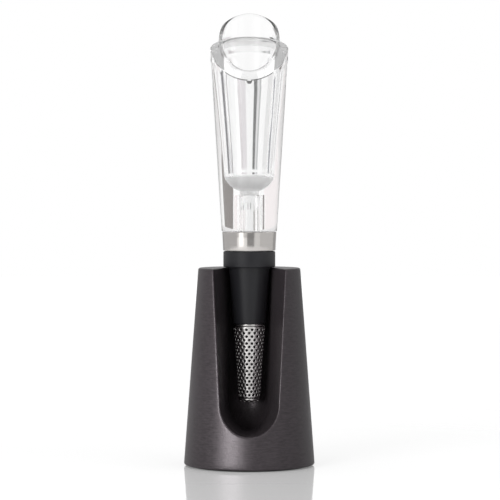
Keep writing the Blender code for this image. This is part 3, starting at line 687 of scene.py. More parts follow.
def sleeve_section(settings):
    """Cone, rounded collar and stepped bore of the silicone sleeve."""
    low, top = SLEEVE_BOX[0][2], SLEEVE_BOX[1][2]
    edge = settings.edge
    collar_low = top - settings.collar_height
    step = collar_low + settings.collar_floor
    points = [(settings.sleeve_bore, low)]
    points += arc(settings.cone_low - edge, low + edge, edge, -90.0, -4.0)
    points += along((settings.cone_low, low + edge), (settings.cone_top, collar_low),
                    (*QUARTERS, 1.0))
    points += rounded_side(SLEEVE_BOX[1][0], collar_low, top, edge)
    return points + [(settings.socket_bore, top), (settings.socket_bore, step),
                     (settings.sleeve_bore, step)]


def core_section(settings):
    """Stem, socket and flange of the hard core."""
    low, top = CORE_BOX[0][2], CORE_BOX[1][2]
    flange, flange_low = CORE_BOX[1][0], RING_BOX[0][2]
    socket_low = SLEEVE_BOX[1][2] - settings.collar_height + settings.collar_floor + CLEARANCE
    floor, edge = socket_low + SOCKET_FLOOR, 0.25 * MM
    stem, socket = settings.sleeve_bore - CLEARANCE, settings.socket_bore - CLEARANCE
    points = [(STEM_BORE, low), (stem - edge, low), (stem, low + edge), (stem, socket_low),
              (socket - edge, socket_low), (socket, socket_low + edge), (socket, flange_low)]
    points += rounded_side(flange, flange_low, top, edge, 3)
    return points + [(CORE_BORE + edge, top), (CORE_BORE, top - edge), (CORE_BORE, floor),
                     (STEM_BORE, floor)]


def washer_section():
    """Flat ring with round inner and outer sides."""
    middle, half = middle_and_half(WASHER_BOX)
    return (arc(WASHER_BOX[1][0] - half, middle, half, -90.0, 90.0, 6)
            + arc(STEM_BORE + half, middle, half, 90.0, 270.0, 6))


def ring_section(settings):
    """The tapered steel ring with rounded outer edges."""
    low, top, edge = RING_BOX[0][2], RING_BOX[1][2], settings.ring_edge
    points = [(settings.ring_bore, low)]
    points += arc(settings.ring_low - edge, low + edge, edge, -90.0, 0.0, 4)
    points += along((settings.ring_low, low + edge), (settings.ring_top, top - edge),
                    (0.33, 0.67))
    points += arc(settings.ring_top - edge, top - edge, edge, 0.0, 90.0, 4)
    return points + [(settings.ring_bore, top)]


class POURER_OT_stopper(bpy.types.Operator):
    """Remake the silicone sleeve, its hard core and the nozzle's washer"""

    bl_idname = "pourer.stopper"
    bl_label = "Stopper"

    def execute(self, context):
        settings = context.scene.pourer_stopper
        silicone = textured("black_silicone", settings.rubber, specular=0.38)
        settle(turned_piece("silicone_sleeve", sleeve_section(settings), silicone),
               "stopper", "stopper_sleeve")
        settle(turned_piece("socket_core", core_section(settings), textured("core_plastic")),
               "stopper", "stopper_core")
        settle(turned_piece("flange_washer", washer_section(), textured("pale_silicone"), 96),
               "stopper", "nozzle_washer")
        return {"FINISHED"}


class POURER_OT_ring(bpy.types.Operator):
    """Remake the brushed steel ring"""

    bl_idname = "pourer.ring"
    bl_label = "Steel ring"

    def execute(self, context):
        settings = context.scene.pourer_stopper
        steel = textured("ring_brushed_steel", settings.steel, anisotropy=0.3)
        settle(turned_piece("steel_band", ring_section(settings), steel, 192),
               "ring", "steel_ring")
        return {"FINISHED"}


# Spout


# Half the height over which the thick edge swells out, and the rounding of the rim where
# the mouth cuts it and where it is whole
BEAD_BLEND, THIN_EDGE, FULL_EDGE = 1.6 * MM, 0.5 * MM, 2.0 * MM
# Rounding at the lip's foot, at its outer edge and at its inner edge
LIP_FILLET, LIP_ROUND, MOUTH_ROUND = 0.9 * MM, 0.7 * MM, 0.6 * MM
SHOULDER_SLOPE, CAVITY_CURVE, MOUTH_BLEND = 0.30, 1.2, 2.0 * MM
# The nib at the front of the rim: half its width in degrees, and its fade below the rim
NIB_HALF_ANGLE, NIB_HEIGHT = 5.0, 1.6 * MM
# Limits between the spout's finishes, as angles from the front in degrees
LINE_END, BEAD_START, MOUTH_END, REAR_START, LIP_EDGE_START = 40.0, 60.0, 100.0, 120.0, 138.0
CUT_FACE_START, NIB_WIDTH = 14.0, 4.9
# Limits between them, as depths below the top
SKIN, LINE_DEPTH, NIB_DEPTH, BAND_DEPTH, BEAD_DEPTH = (
    0.04 * MM, 0.6 * MM, 2.2 * MM, 4.6 * MM, 8.5 * MM)


class SpoutForm:
    """The clear spout's section at any angle, from its sizes.

    Rear is the cosine of the angle from the rear: one there, minus one in
    front.  Depth is the place along that line, positive to the rear.
    """

    def __init__(self, settings):
        self.s = settings
        self.base = RING_BOX[1][2] + CLEARANCE
        self.low = SPOUT_BOX[0][2]
        self.lip_bore = settings.lip_radius - settings.lip_wall
        cup_floor = self.base + settings.cup_floor
        self.cup_centre = cup_floor + settings.cup_depth
        self.seat = cup_floor - settings.floor_web

    def outer(self, height):
        """Radius of the plain cone."""
        part = (height - self.base) / self.s.cone_height
        return self.s.base_radius + (self.s.cone_radius - self.s.base_radius) * part

    def cavity(self, height):
        """Radius of the flared cup above its round bottom."""
        top = self.base + self.s.lip_height
        part = max(0.0, (height - self.cup_centre) / (top - self.cup_centre))
        wider = (self.lip_bore - self.s.cup_radius) * part ** CAVITY_CURVE
        return min(self.lip_bore, self.s.cup_radius + wider)

    def cut(self, depth):
        """Height of the slanting mouth."""
        rear, front = self.s.lip_radius, self.s.bead_radius
        rise, drop = self.s.lip_rise / rear, self.s.lip_drop / front
        bend = (rise - drop) / (rear + front)
        slope = rise - bend * rear
        behind = (depth + math.hypot(depth, MOUTH_BLEND)) / 2.0 / rear
        # x (1 - x)^2 is 4 / 27 at its highest
        swell = 27.0 / 4.0 * self.s.lip_swell * behind * (1.0 - behind) ** 2
        return self.base + self.s.lip_height + slope * depth + bend * depth * depth + swell

    def shoulder(self, depth):
        """Height of the shoulder inside the thick edge."""
        return self.base + self.s.shoulder + SHOULDER_SLOPE * depth

    def side(self, height, rear):
        """Outer radius with the bead under the shoulder."""
        cone, bead = self.outer(height), self.s.bead_radius
        start = self.shoulder(bead * rear) - self.s.bead_height
        bead -= max(0.0, height - start) * self.s.bead_lean
        part = smooth_share((height - start + BEAD_BLEND) / (2.0 * BEAD_BLEND))
        return cone + (max(bead, cone) - cone) * part

    def top_height(self, radius, rear):
        """Height of the shoulder, or of the mouth where that is lower."""
        return min(self.shoulder(radius * rear), self.cut(radius * rear))

    def rim(self, rear):
        """From the plain cone over bead, shoulder and lip down into the cup."""
        s, lip = self.s, self.s.lip_radius
        ridge = self.top_height(s.bead_radius, rear)
        uncut = smooth_share((self.cut(s.bead_radius * rear) - ridge) / MOUTH_BLEND)
        round_edge = THIN_EDGE + (FULL_EDGE - THIN_EDGE) * uncut
        heights = [ridge - s.bead_height * part for part in levels(1.45, 0.35, shares(13))]
        points = [(self.side(height, rear), height) for height in heights]
        side = self.side(ridge - round_edge, rear)
        inner_edge = side - round_edge
        flat = self.top_height(inner_edge, rear)
        off_front = math.degrees(math.acos(max(-1.0, min(1.0, -rear)))) / NIB_HALF_ANGLE
        nib = s.nib * max(0.0, 1.0 - off_front * off_front)
        foot_radius, foot = points[-1]
        rise = flat - round_edge - foot
        for part in shares(8, 1, 1):
            swell = nib * smooth_share(1.0 - rise * (1.0 - part) / NIB_HEIGHT)
            points.append((foot_radius + (side - foot_radius) * part + swell, foot + rise * part))
        for part in shares(8):
            angle = math.pi / 2.0 * part
            radius = inner_edge + nib * (1.0 - part) + round_edge * math.cos(angle)
            drop = round_edge * (1.0 - math.sin(angle))
            tilt = (self.top_height(radius, rear) - flat) * part
            points.append((radius, flat - drop + tilt))
        base = self.top_height(lip, rear)
        rise = max(0.0, self.cut(lip * rear) - base)
        fillet, edge = min(LIP_FILLET, rise / 2.0), min(LIP_ROUND, rise / 2.0)
        middle = (inner_edge + lip + fillet) / 2.0
        points.append((middle, self.top_height(middle, rear)))
        start = self.top_height(lip + fillet, rear)
        for part in shares(5):
            angle = math.pi / 2.0 * part
            points.append((lip + fillet * (1.0 - math.sin(angle)),
                           start + (base - start) * part + fillet * (1.0 - math.cos(angle))))
        points += along((lip, base + fillet), (lip, self.cut(lip * rear) - edge), shares(4, 1))
        for angle in quarter_turn(5, 1):
            radius = lip - edge * (1.0 - math.cos(angle))
            points.append((radius, self.cut(radius * rear) - edge * (1.0 - math.sin(angle))))
        for angle in quarter_turn(5):
            radius = self.lip_bore + MOUTH_ROUND * (1.0 - math.sin(angle))
            height = self.cut(radius * rear) - MOUTH_ROUND * (1.0 - math.cos(angle))
            radius -= (self.lip_bore - self.cavity(height)) * math.sin(angle)
            points.append((radius, height))
        return points

    def finish_at(self, place):
        """The finish of a face by its place, as a slot of SPOUT_FINISHES."""
        s, radius = self.s, math.hypot(place.x, place.y)
        rear = place.y / radius
        if radius < s.cup_radius + 0.1 * MM:
            low_part = self.seat < place.z < self.cup_centre - 0.25 * s.cup_depth
            return CUP_FLOOR if low_part else CLEAR
        depth = self.top_height(radius, rear) - place.z
        front = math.degrees(math.acos(-rear))
        if radius < s.lip_radius + 0.3 * MM:
            return self.lip_finish(place.z, radius, rear, front)
        on_edge = radius > s.lip_radius + 2.0 * MM
        line = front < LINE_END and SKIN < depth < LINE_DEPTH
        nib = front < NIB_WIDTH - 1.1 * depth / MM and SKIN < depth < NIB_DEPTH
        # The dark line along the front rim and the nib's dark spot are painted shade.
        if on_edge and (line or nib):
            return FRONT_RIM_PAINTED_SHADE
        if front > REAR_START and depth < BAND_DEPTH:
            return REAR_BAND if on_edge else SHOULDER
        if front > CUT_FACE_START and depth < SKIN:
            return CUT_FACE
        return BEAD if front > BEAD_START and depth < BEAD_DEPTH else CLEAR

    def lip_finish(self, height, radius, rear, front):
        """The finish of a face on the thin lip or the wall below it; front in degrees."""
        above = height - self.shoulder(radius * rear)
        top_edge = self.cut(radius * rear) - height < 0.72 * MM
        inside = self.s.lip_radius - radius
        if top_edge and front < MOUTH_END and inside > 0.2 * MM:
            return BEAD
        # The grey along the rear lip's top edge is painted shade.
        if top_edge and front > LIP_EDGE_START and inside < 0.5 * MM:
            return LIP_EDGE_PAINTED_SHADE
        if inside < 0.3 * MM and front > REAR_START and abs(above) < 1.0 * MM:
            return SHOULDER
        return LIP if above > -0.5 * MM else CLEAR

    def section(self, angle):
        """The whole closed section at one angle round the axis."""
        rear = math.cos(angle)
        s, base, edge = self.s, self.base, 0.3 * MM
        seal, half = middle_and_half(SEAL_BOX)
        plug, groove = s.spigot_radius, s.spigot_radius - 2.0 * half - CLEARANCE
        half += CLEARANCE
        points = [(s.bore, self.low), (plug - edge, self.low), (plug, self.low + edge),
                  (plug, seal - half), (groove, seal - half), (groove, seal + half),
                  (plug, seal + half), (plug, base)]
        points += arc(s.base_radius - edge, base + edge, edge, -90.0, 0.0, 4)
        top = self.rim(rear)
        points += [(self.outer(height), height)
                   for height in levels(base + edge, top[0][1], shares(25, 1, 1))]
        points += top
        points += [(self.cavity(height), height)
                   for height in levels(top[-1][1], self.cup_centre, shares(30, 1))]
        mouth = math.acos(s.nozzle_bore / s.cup_radius)
        points += [(s.cup_radius * math.cos(turn), self.cup_centre - s.cup_depth * math.sin(turn))
                   for turn in levels(0.0, mouth, shares(20, 1))]
        points += [(s.nozzle_bore, self.seat), (s.bore, self.seat)]
        return points + along((s.bore, self.seat), (s.bore, self.low), shares(8, 1, 1))


def nozzle_section(settings):
    """Flange, outer wall, rounded top and bore of the nozzle tube."""
    low, top = NOZZLE_BOX[0][2], NOZZLE_BOX[1][2]
    outer, bore, edge = settings.nozzle_radius, settings.nozzle_bore, 0.3 * MM
    flange, flange_top = NOZZLE_BOX[1][0], low + 1.0 * MM
    points = [(bore, low), (flange - edge, low), (flange, low + edge),
              (flange, flange_top - edge), (flange - edge, flange_top), (outer, flange_top)]
    points += along((outer, flange_top), (outer, top - edge), QUARTERS)
    points += arc(outer - edge, top - edge, edge, 0.0, 90.0, 4)
    points += arc(bore + edge, top - edge, edge, 90.0, 180.0, 4)
    return points + along((bore, top), (bore, low), QUARTERS)


class POURER_OT_spout(bpy.types.Operator):
    """Remake the clear spout, its nozzle tube and its seal"""

    bl_idname = "pourer.spout"
    bl_label = "Clear spout"

    def execute(self, context):
        settings = context.scene.pourer_spout
        form = SpoutForm(settings)
        shape = bmesh.new()
        turned_mesh(shape, form.section, 256)
        # The greys given to the front rim and the lip's edge are painted shade.
        finishes = [clear_acrylic(name, (grey,) * 3 if grey else settings.tint, marks, haze)
                    for name, grey, marks, haze in SPOUT_FINISHES]
        body = finish_mesh("clear_spout", shape, finishes[CLEAR], sharp=35.0)
        for finish in finishes[1:]:
            body.data.materials.append(finish)
        for face in body.data.polygons:
            face.material_index = form.finish_at(face.center)
        settle(body, "spout", "spout_body")
        clear = clear_acrylic("nozzle_acrylic", (0.996,) * 3, marks=0.02, haze=0.02)
        settle(turned_piece("nozzle_sleeve", nozzle_section(settings), clear, 128),
               "spout", "nozzle_tube")
        middle, radius = middle_and_half(SEAL_BOX)
        circle = arc(SEAL_BOX[1][0] - radius, middle, radius, 0.0, 360.0, 16)[:-1]
        pale = bpy.data.materials.get("pale_silicone") or textured("pale_silicone")
        settle(turned_piece("spout_o_ring", circle, pale, 96),
               "spout", "spout_seal")
        return {"FINISHED"}


# Strainer


CELL_SIDES = 24
SIXTH_TURN = math.pi / 3.0
ROOT_THREE = math.sqrt(3.0)
NARROW_CELL = 1.73           # widest hole's share of half a column, where the sheet is narrow
CAP_FLAT, CAP_HOLE, CAP_WALL = 3.6 * MM, 0.5 * MM, 0.45 * MM
NECK_RADIUS, NECK_BORE, FLANGE = 6.6 * MM, 6.0 * MM, 0.6 * MM


class PiercedSheet:
    """A Geometry Nodes tree: staggered round holes in a sheet turned round the Z axis.

    The profile comes in as a chain of edges whose X is the radius.  Each hole
    sits in a six-sided cell; the cells close into one sheet.
    """

    def __init__(self):
        self.tree = bpy.data.node_groups.new("pierced_sheet", "GeometryNodeTree")
        for label, kind in (("Profile", "Geometry"), ("Columns", "Int"), ("Rows", "Int"),
                            ("Border", "Float"), ("Hole Size", "Float"),
                            ("Material", "Material")):
            self.tree.interface.new_socket(label, in_out="INPUT",
                                           socket_type="NodeSocket" + kind)
        self.tree.interface.new_socket("Sheet", in_out="OUTPUT",
                                       socket_type="NodeSocketGeometry")
        self.given = self.add("NodeGroupInput").outputs
        self.curve = self.add("GeometryNodeMeshToCurve",
                              {"Mesh": self.given["Profile"]}).outputs["Curve"]
        self.whole = self.add("GeometryNodeCurveLength", {"Curve": self.curve}).outputs["Length"]
        sheet = self.bordered(self.wrapped_cells(self.placed_cells(self.one_cell())))
        smooth = self.add("GeometryNodeSetShadeSmooth", {"Geometry": sheet}).outputs[0]
        real = self.add("GeometryNodeRealizeInstances", {"Geometry": smooth}).outputs[0]
        paint = self.add("GeometryNodeSetMaterial",
                         {"Geometry": real, "Material": self.given["Material"]}).outputs[0]
        self.add("NodeGroupOutput", {"Sheet": paint})

    def add(self, kind, inputs=None, **fields):
        """A new node in this tree."""
        return add(self.tree, kind, inputs, **fields)

    def calc(self, operation, first, second=0.0):
        """The result of one Math node."""
        return math_node(self.tree, operation, first, second)

    def product(self, first, *others):
        """All the given numbers multiplied."""
        for other in others:
            first = self.calc("MULTIPLY", first, other)
        return first

    def attribute(self, name, kind="FLOAT"):
        """A named attribute's value."""
        return self.add("GeometryNodeInputNamedAttribute", {"Name": name},
                        data_type=kind).outputs["Attribute"]

    def parts_of(self, vector):
        """A vector's X, Y and Z."""
        return self.add("ShaderNodeSeparateXYZ", {0: vector}).outputs

    def joined(self, x, y, z=0.0):
        """A vector from its parts."""
        return self.add("ShaderNodeCombineXYZ", {"X": x, "Y": y, "Z": z}).outputs[0]

    def stored(self, geometry, name, value, where=True, kind="FLOAT"):
        """The geometry with a value kept on its points under a name."""
        return self.add("GeometryNodeStoreNamedAttribute",
                        {"Geometry": geometry, "Selection": where, "Name": name,
                         "Value": value}, data_type=kind, domain="POINT").outputs["Geometry"]

    def doubled_edges(self, mesh, where):
        """The mesh with the chosen edges doubled in place, and its new edges."""
        grown = self.add("GeometryNodeExtrudeMesh",
                         {"Mesh": mesh, "Selection": where, "Offset Scale": 0.0}, mode="EDGES")
        return grown.outputs["Mesh"], grown.outputs["Top"]

    def moved(self, geometry, place, where=True):
        """The geometry with the chosen points put in a place."""
        return self.add("GeometryNodeSetPosition",
                        {"Geometry": geometry, "Selection": where,
                         "Position": place}).outputs["Geometry"]

    def compare(self, kind, operation, first, second):
        """Whether one value compares with another as the operation says."""
        return self.add("FunctionNodeCompare", {"A": first, "B": second}, data_type=kind,
                        operation=operation).outputs[0]

    def both_of(self, first, second):
        """True where both are."""
        return self.add("FunctionNodeBooleanMath", {0: first, 1: second},
                        operation="AND").outputs[0]

    def profile_at(self, run):
        """The profile's radius and height at a length along it."""
        sample = self.add("GeometryNodeSampleCurve", {"Curves": self.curve, "Length": run},
                          mode="LENGTH", data_type="FLOAT")
        return self.parts_of(sample.outputs["Position"])

    def wrapped(self, turn, run):
        """The place on the turned sheet at an angle and a length along the profile."""
        spot = self.profile_at(run)
        return self.joined(self.product(spot["X"], self.calc("SINE", turn)),
                           self.product(spot["X"], self.calc("COSINE", turn)), spot["Z"])

    def blend(self, inner, outer, part):
        """A value on the way from inner to outer."""
        rest = self.calc("SUBTRACT", 1.0, part)
        return self.calc("ADD", self.product(inner, rest), self.product(outer, part))

    def one_cell(self):
        """A circle grown twice, each point with its share of the way to the cell's edge."""
        cell = self.add("GeometryNodeMeshCircle", {"Vertices": CELL_SIDES, "Radius": 1.0},
                        fill_type="NONE").outputs["Mesh"]
        cell, newest = self.stored(cell, "ring", 0.0), True
        for level in (0.5, 1.0):
            cell, newest = self.doubled_edges(cell, newest)
            cell = self.stored(cell, "ring", level, where=newest)
        position = self.add("GeometryNodeInputPosition").outputs["Position"]
        return self.stored(cell, "way", position, kind="FLOAT_VECTOR")

    def placed_cells(self, cell):
        """Every cell, with its column and row; every other row is shifted by half a cell."""
        columns, rows = self.given["Columns"], self.given["Rows"]
        index = self.add("GeometryNodeInputIndex").outputs["Index"]
        row = self.calc("FLOOR", self.calc("DIVIDE", self.calc("ADD", index, 0.5), columns))
        column = self.calc("ADD", self.calc("MODULO", index, columns),
                           self.product(self.calc("MODULO", row, 2.0), 0.5))
        points = self.add("GeometryNodePoints", {"Count": self.product(columns, rows)})
        spots = self.stored(points.outputs["Points"], "cell", self.joined(column, row),
                            kind="FLOAT_VECTOR")
        placed = self.add("GeometryNodeInstanceOnPoints", {"Points": spots, "Instance": cell})
        return self.add("GeometryNodeRealizeInstances",
                        {"Geometry": placed.outputs["Instances"]}).outputs["Geometry"]

    def wrapped_cells(self, cells):
        """The cells with their holes, bent round the axis and closed into one sheet."""
        calc, product, border = self.calc, self.product, self.given["Border"]
        span = calc("SUBTRACT", self.whole, product(border, 2.0))
        pitch = calc("DIVIDE", span, calc("ADD", self.given["Rows"], 1.0 / 3.0))
        ring = self.attribute("ring")
        way = self.parts_of(self.attribute("way", "FLOAT_VECTOR"))
        cell = self.parts_of(self.attribute("cell", "FLOAT_VECTOR"))
        turn = calc("ARCTAN2", way["Y"], way["X"])
        off = calc("SUBTRACT", turn,
                   product(calc("ROUND", calc("DIVIDE", turn, SIXTH_TURN)), SIXTH_TURN))
        reach = calc("DIVIDE", 1.0, calc("COSINE", off))
        middle = calc("ADD", border, product(pitch, calc("ADD", cell["Y"], 2.0 / 3.0)))
        radius = self.profile_at(middle)["X"]
        step = calc("DIVIDE", math.pi, self.given["Columns"])
        room = calc("MINIMUM", pitch, product(radius, step, NARROW_CELL))
        hole = product(self.given["Hole Size"], room)
        swing = self.blend(calc("DIVIDE", product(way["X"], hole), radius),
                           product(way["X"], reach, step), ring)
        climb = self.blend(product(way["Y"], hole),
                           product(way["Y"], reach, calc("DIVIDE", pitch, ROOT_THREE)), ring)
        angle = calc("ADD", product(cell["X"], product(step, 2.0)), swing)
        bent = self.moved(cells, self.wrapped(angle, calc("ADD", middle, climb)))
        return self.add("GeometryNodeMergeByDistance",
                        {"Geometry": bent, "Distance": 0.01 * MM}).outputs["Geometry"]

    def bordered(self, sheet):
        """The sheet with its open ends drawn out to the profile's ends."""
        for operation, end in (("LESS_THAN", 0.0), ("GREATER_THAN", 1.0)):
            count = self.add("GeometryNodeInputMeshEdgeNeighbors").outputs["Face Count"]
            outer = self.compare("FLOAT", "GREATER_THAN", self.attribute("ring"), 0.9)
            open_edge = self.both_of(self.compare("INT", "EQUAL", count, 1), outer)
            row = self.parts_of(self.attribute("cell", "FLOAT_VECTOR"))["Y"]
            near = self.compare("FLOAT", operation, row, self.product(self.given["Rows"], 0.5))
            sheet, newest = self.doubled_edges(sheet, self.both_of(open_edge, near))
            at = self.parts_of(self.add("GeometryNodeInputPosition").outputs["Position"])
            around = self.calc("ARCTAN2", at["X"], at["Y"])
            goal = self.wrapped(around, self.product(self.whole, end))
            sheet = self.moved(sheet, goal, where=newest)
        return sheet


def pierced_piece(name, profile, columns, rows, settings, wall, material, inside):
    """Pierce a turned sheet with staggered holes and give it its thickness."""
    mesh = bpy.data.meshes.new(name + "_profile")
    mesh.from_pydata([(radius, 0.0, height) for radius, height in profile],
                     [(index, index + 1) for index in range(len(profile) - 1)], [])
    rough = new_object(name + "_rough", mesh)
    tree = bpy.data.node_groups.get("pierced_sheet") or PiercedSheet().tree
    pierce = rough.modifiers.new("pierce", "NODES")
    pierce.node_group = tree
    values = {"Columns": columns, "Rows": rows, "Border": settings.border,
              "Hole Size": settings.hole, "Material": material}
    for item in tree.interface.items_tree:
        if item.in_out == "INPUT" and item.name in values:
            pierce[item.identifier] = values[item.name]
    graph = bpy.context.evaluated_depsgraph_get()
    sheet = bpy.data.meshes.new_from_object(rough.evaluated_get(graph), depsgraph=graph)
    rough.modifiers.remove(pierce)
    bpy.data.objects.remove(rough, do_unlink=True)
    if len(sheet.polygons) == 0:
        raise RuntimeError(f"{name}: the pierced sheet came out empty")
    shape = bmesh.new()
    shape.from_mesh(sheet)
    bmesh.ops.remove_doubles(shape, verts=shape.verts, dist=0.004 * MM)
    bmesh.ops.recalc_face_normals(shape, faces=shape.faces)
    if sum(face.normal.xy.dot(face.calc_center_median().xy) for face in shape.faces) < 0.0:
        bmesh.ops.reverse_faces(shape, faces=shape.faces)
    shape.to_mesh(sheet)
    shape.free()
    sheet.name = name
    sheet.materials.clear()
    sheet.materials.append(material)
    sheet.materials.append(inside)
    piece = new_object(name, sheet)
    thick = piece.modifiers.new("wall", "SOLIDIFY")
    thick.thickness = wall
    thick.offset = -1.0
    # The inner face takes the second material, a darker steel that paints shade inside the sheet.
    thick.material_offset = 1
    return piece


def basket_profile(settings):
    """Plain cone of the basket and the flare under its flange."""
    low, top = BASKET_BOX[0][2], BASKET_BOX[1][2]
    neck = low + settings.straight
    swell = settings.top_radius - settings.neck_radius
    cone = along((settings.low_radius, low), (settings.neck_radius, neck),
                 (0.0, *QUARTERS, 0.97))
    flare = [(settings.neck_radius + swell * smooth_share(part * 1.2),
              neck + (top - neck) * part) for part in shares(4, 1)]
    return cone + flare


def cap_profile(settings):
    """Flat bottom and rounded side of the end cap."""
    low, top = CAP_BOX[0][2], BASKET_BOX[0][2] - CLEARANCE
    bend, rise = settings.low_radius - CAP_FLAT, top - low
    bottom = along((CAP_HOLE, low), (CAP_FLAT, low), (0.0, 0.33, 0.67, 1.0))
    side = [(CAP_FLAT + bend * math.sin(angle), top - rise * math.cos(angle))
            for angle in quarter_turn(8, 1)]
    return bottom + side


def collar_section():
    """Thin flange and turned neck of the strainer's collar."""
    low, top, edge = COLLAR_BOX[0][2], COLLAR_BOX[1][2], 0.2 * MM
    points = [(NECK_BORE, low)] + rounded_side(COLLAR_BOX[1][0], low, low + FLANGE, edge, 3)
    return points + [(NECK_RADIUS, low + FLANGE), (NECK_RADIUS, top - edge),
                     (NECK_RADIUS - edge, top), (NECK_BORE, top)]


class POURER_OT_strainer(bpy.types.Operator):
    """Remake the collar, the pierced basket and the pierced end cap"""

    bl_idname = "pourer.strainer"
    bl_label = "Strainer"

    def execute(self, context):
        settings = context.scene.pourer_strainer
        steel = textured("strainer_steel", settings.steel)
        # A darker copy of the steel for the inner faces: painted shade.
        shaded = textured("strainer_inside_painted_shade")
        basket = pierced_piece("pierced_basket", basket_profile(settings), settings.columns,
                               settings.rows, settings, settings.wall, steel, shaded)
        settle(basket, "strainer", "strainer_basket")
        end = pierced_piece("pierced_end", cap_profile(settings), settings.cap_columns,
                            settings.cap_rows, settings, CAP_WALL, steel, shaded)
        settle(end, "strainer", "strainer_end_cap")
        settle(turned_piece("strainer_neck", collar_section(), steel, 128),
               "strainer", "strainer_collar")
        return {"FINISHED"}


# Studio


# Distances from the axis over which the floor's gloss fades, its glow for the camera grows
# and its tone for clear pieces grows paler
GLOSS_FADE, GLOW_RISE, TONE_RISE = (0.18, 0.34), (0.3, 2.0), (0.24, 0.42)
FLOOR_TONES, FAR_GLOW, FLOOR_ROUGHNESS, FLOOR_GLOSS = (0.62, 0.97), 0.7, 0.06, 0.5
WHITE = (1.0, 1.0, 1.0)
LIT_TONE, MIRRORED_TONE = (0.55, 0.55, 0.55), (0.85, 0.85, 0.85)

# Tones that the clear pieces see, as cards in the surroundings: azimuth from the front
# towards the right, elevation (both from and to, in degrees), blur and colour
CLEAR_CARDS = (
    (-181.0, 181.0, 6.0, 91.0, 1.0, (0.80, 0.79, 0.79)),
    (-141.5, -125.0, -8.0, 1.5, 2.5, (0.20, 0.20, 0.21)),
    (-124.0, -98.0, -8.0, 1.5, 2.5, (0.72, 0.72, 0.73)),
    (-173.6, -170.6, -8.0, 1.6, 0.6, (0.58, 0.54, 0.56)),
    (-177.6, -173.4, -8.0, 1.6, 0.8, (0.76, 0.73, 0.75)),
    (174.3, 176.9, -8.0, 1.6, 0.4, (0.10, 0.10, 0.10)),
    (172.3, 174.3, -8.0, 1.6, 0.4, (0.72, 0.72, 0.73)),
    (170.8, 172.3, -8.0, 1.6, 0.4, (0.42, 0.42, 0.43)),
    (-160.0, -112.0, 1.8, 6.0, 1.5, (0.95, 0.90, 0.90)),
    (136.0, 160.0, -8.0, 1.0, 2.5, (0.78, 0.78, 0.78)),
    (116.0, 127.0, -8.0, 1.0, 2.0, (0.28, 0.28, 0.31)),
    (130.5, 158.0, 1.8, 5.8, 0.8, (0.235, 0.215, 0.205)),
    (142.4, 145.4, 1.8, 3.3, 0.4, (0.72, 0.72, 0.73)),
    (107.0, 113.0, 1.8, 3.4, 0.8, (0.58, 0.58, 0.58)),
)
WIDEST_LEVEL_BLUR = 1.2

# Cards that only reflections show: azimuth from and to, height, distance and tone
REFLECTED_CARDS = (
    ("key_card", -44.0, -25.0, 0.50, 0.60, 1.9),
    ("dark_card", -9.0, 21.0, 0.36, 0.60, 0.34),
    ("bright_card", 24.0, 44.0, 0.36, 0.60, 0.92),
    ("right_card", 46.0, 122.0, 0.40, 0.62, 0.72),
    ("right_edge_card", 124.0, 160.0, 0.40, 0.62, 0.45),
    ("left_card", -138.0, -53.0, 0.40, 0.62, 0.62),
    ("left_edge_card", -160.0, -140.0, 0.40, 0.62, 0.45),
)

# Soft boxes: azimuth from the front towards the right, elevation, distance, width, height,
# power, and the rays that don't show them
SOFT_BOXES = (
    ("key_box", -34.0, 18.0, 1.3, 0.55, 1.1, 12.0, ("glossy", "transmission")),
    ("fill_box", 62.0, 20.0, 1.5, 0.5, 1.0, 4.0, ("glossy",)),
    ("top_box", 0.0, 84.0, 1.4, 1.2, 1.2, 16.0, ("glossy",)),
    ("low_box", -32.0, -4.0, 0.55, 0.29, 0.10, 2.5, ("transmission",)),
)


class POURER_OT_studio(bpy.types.Operator):
    """Set up the pale floor, the surroundings, the lamps and the camera"""

    bl_idname = "pourer.studio"
    bl_label = "Studio"

    def execute(self, context):
        settings = context.scene.pourer_studio
        context.scene.view_settings.view_transform = "Standard"
        make_floor(settings)
        make_surroundings(context.scene)
        for card in REFLECTED_CARDS:
            make_card(*card)
        for box in SOFT_BOXES:
            make_lamp(*box)
        light_stand_alone(bpy.data.objects["low_box"])
        make_camera(context.scene, settings)
        return {"FINISHED"}


def make_floor(settings):
    """A wide, pale, slightly glossy floor; clear pieces see it greyer near the object."""
    shape = bmesh.new()
    bmesh.ops.create_grid(shape, x_segments=8, y_segments=8, size=settings.floor_size / 2.0)
    floor = new_object("studio_floor", taken_mesh("studio_floor", shape))
    material, tree, shader = principled("pale_floor")
    path = add(tree, "ShaderNodeLightPath").outputs
    distance = add(tree, "ShaderNodeVectorMath", {0: own_place(tree)},
                   operation="LENGTH").outputs["Value"]
    near = ramp(tree, distance, 1.0, 0.0, *GLOSS_FADE)
    feed(tree, shader, {"Base Color": (*settings.floor_colour, 1.0),
                        "Roughness": FLOOR_ROUGHNESS,
                        "Metallic": math_node(tree, "MULTIPLY", near, settings.floor_mirror),
                        "Specular IOR Level": math_node(tree, "MULTIPLY", near, FLOOR_GLOSS)})
    far = ramp(tree, distance, settings.floor_glow, FAR_GLOW, *GLOW_RISE)
    glow = add(tree, "ShaderNodeEmission",
               {"Strength": math_node(tree, "MULTIPLY", path["Is Camera Ray"], far)})
    lit = add(tree, "ShaderNodeAddShader", {0: shader.outputs[0], 1: glow.outputs[0]})
    grey = add(tree, "ShaderNodeEmission",
               {"Strength": ramp(tree, distance, *FLOOR_TONES, *TONE_RISE)})
    shown = add(tree, "ShaderNodeMixShader", {0: path["Is Transmission Ray"], 1: lit.outputs[0],
                                              2: grey.outputs[0]})
    feed(tree, tree.nodes["Material Output"], {"Surface": shown.outputs[0]})
    floor.data.materials.append(material)


def between(tree, value, low, high, blur):
    """One inside a range and nought outside it, with smooth edges."""
    above_low, above_high = (
        ramp(tree, value, 0.0, 1.0, edge - blur / 2.0, edge + blur / 2.0, "SMOOTHSTEP")
        for edge in (low, high))
    return math_node(tree, "SUBTRACT", above_low, above_high)


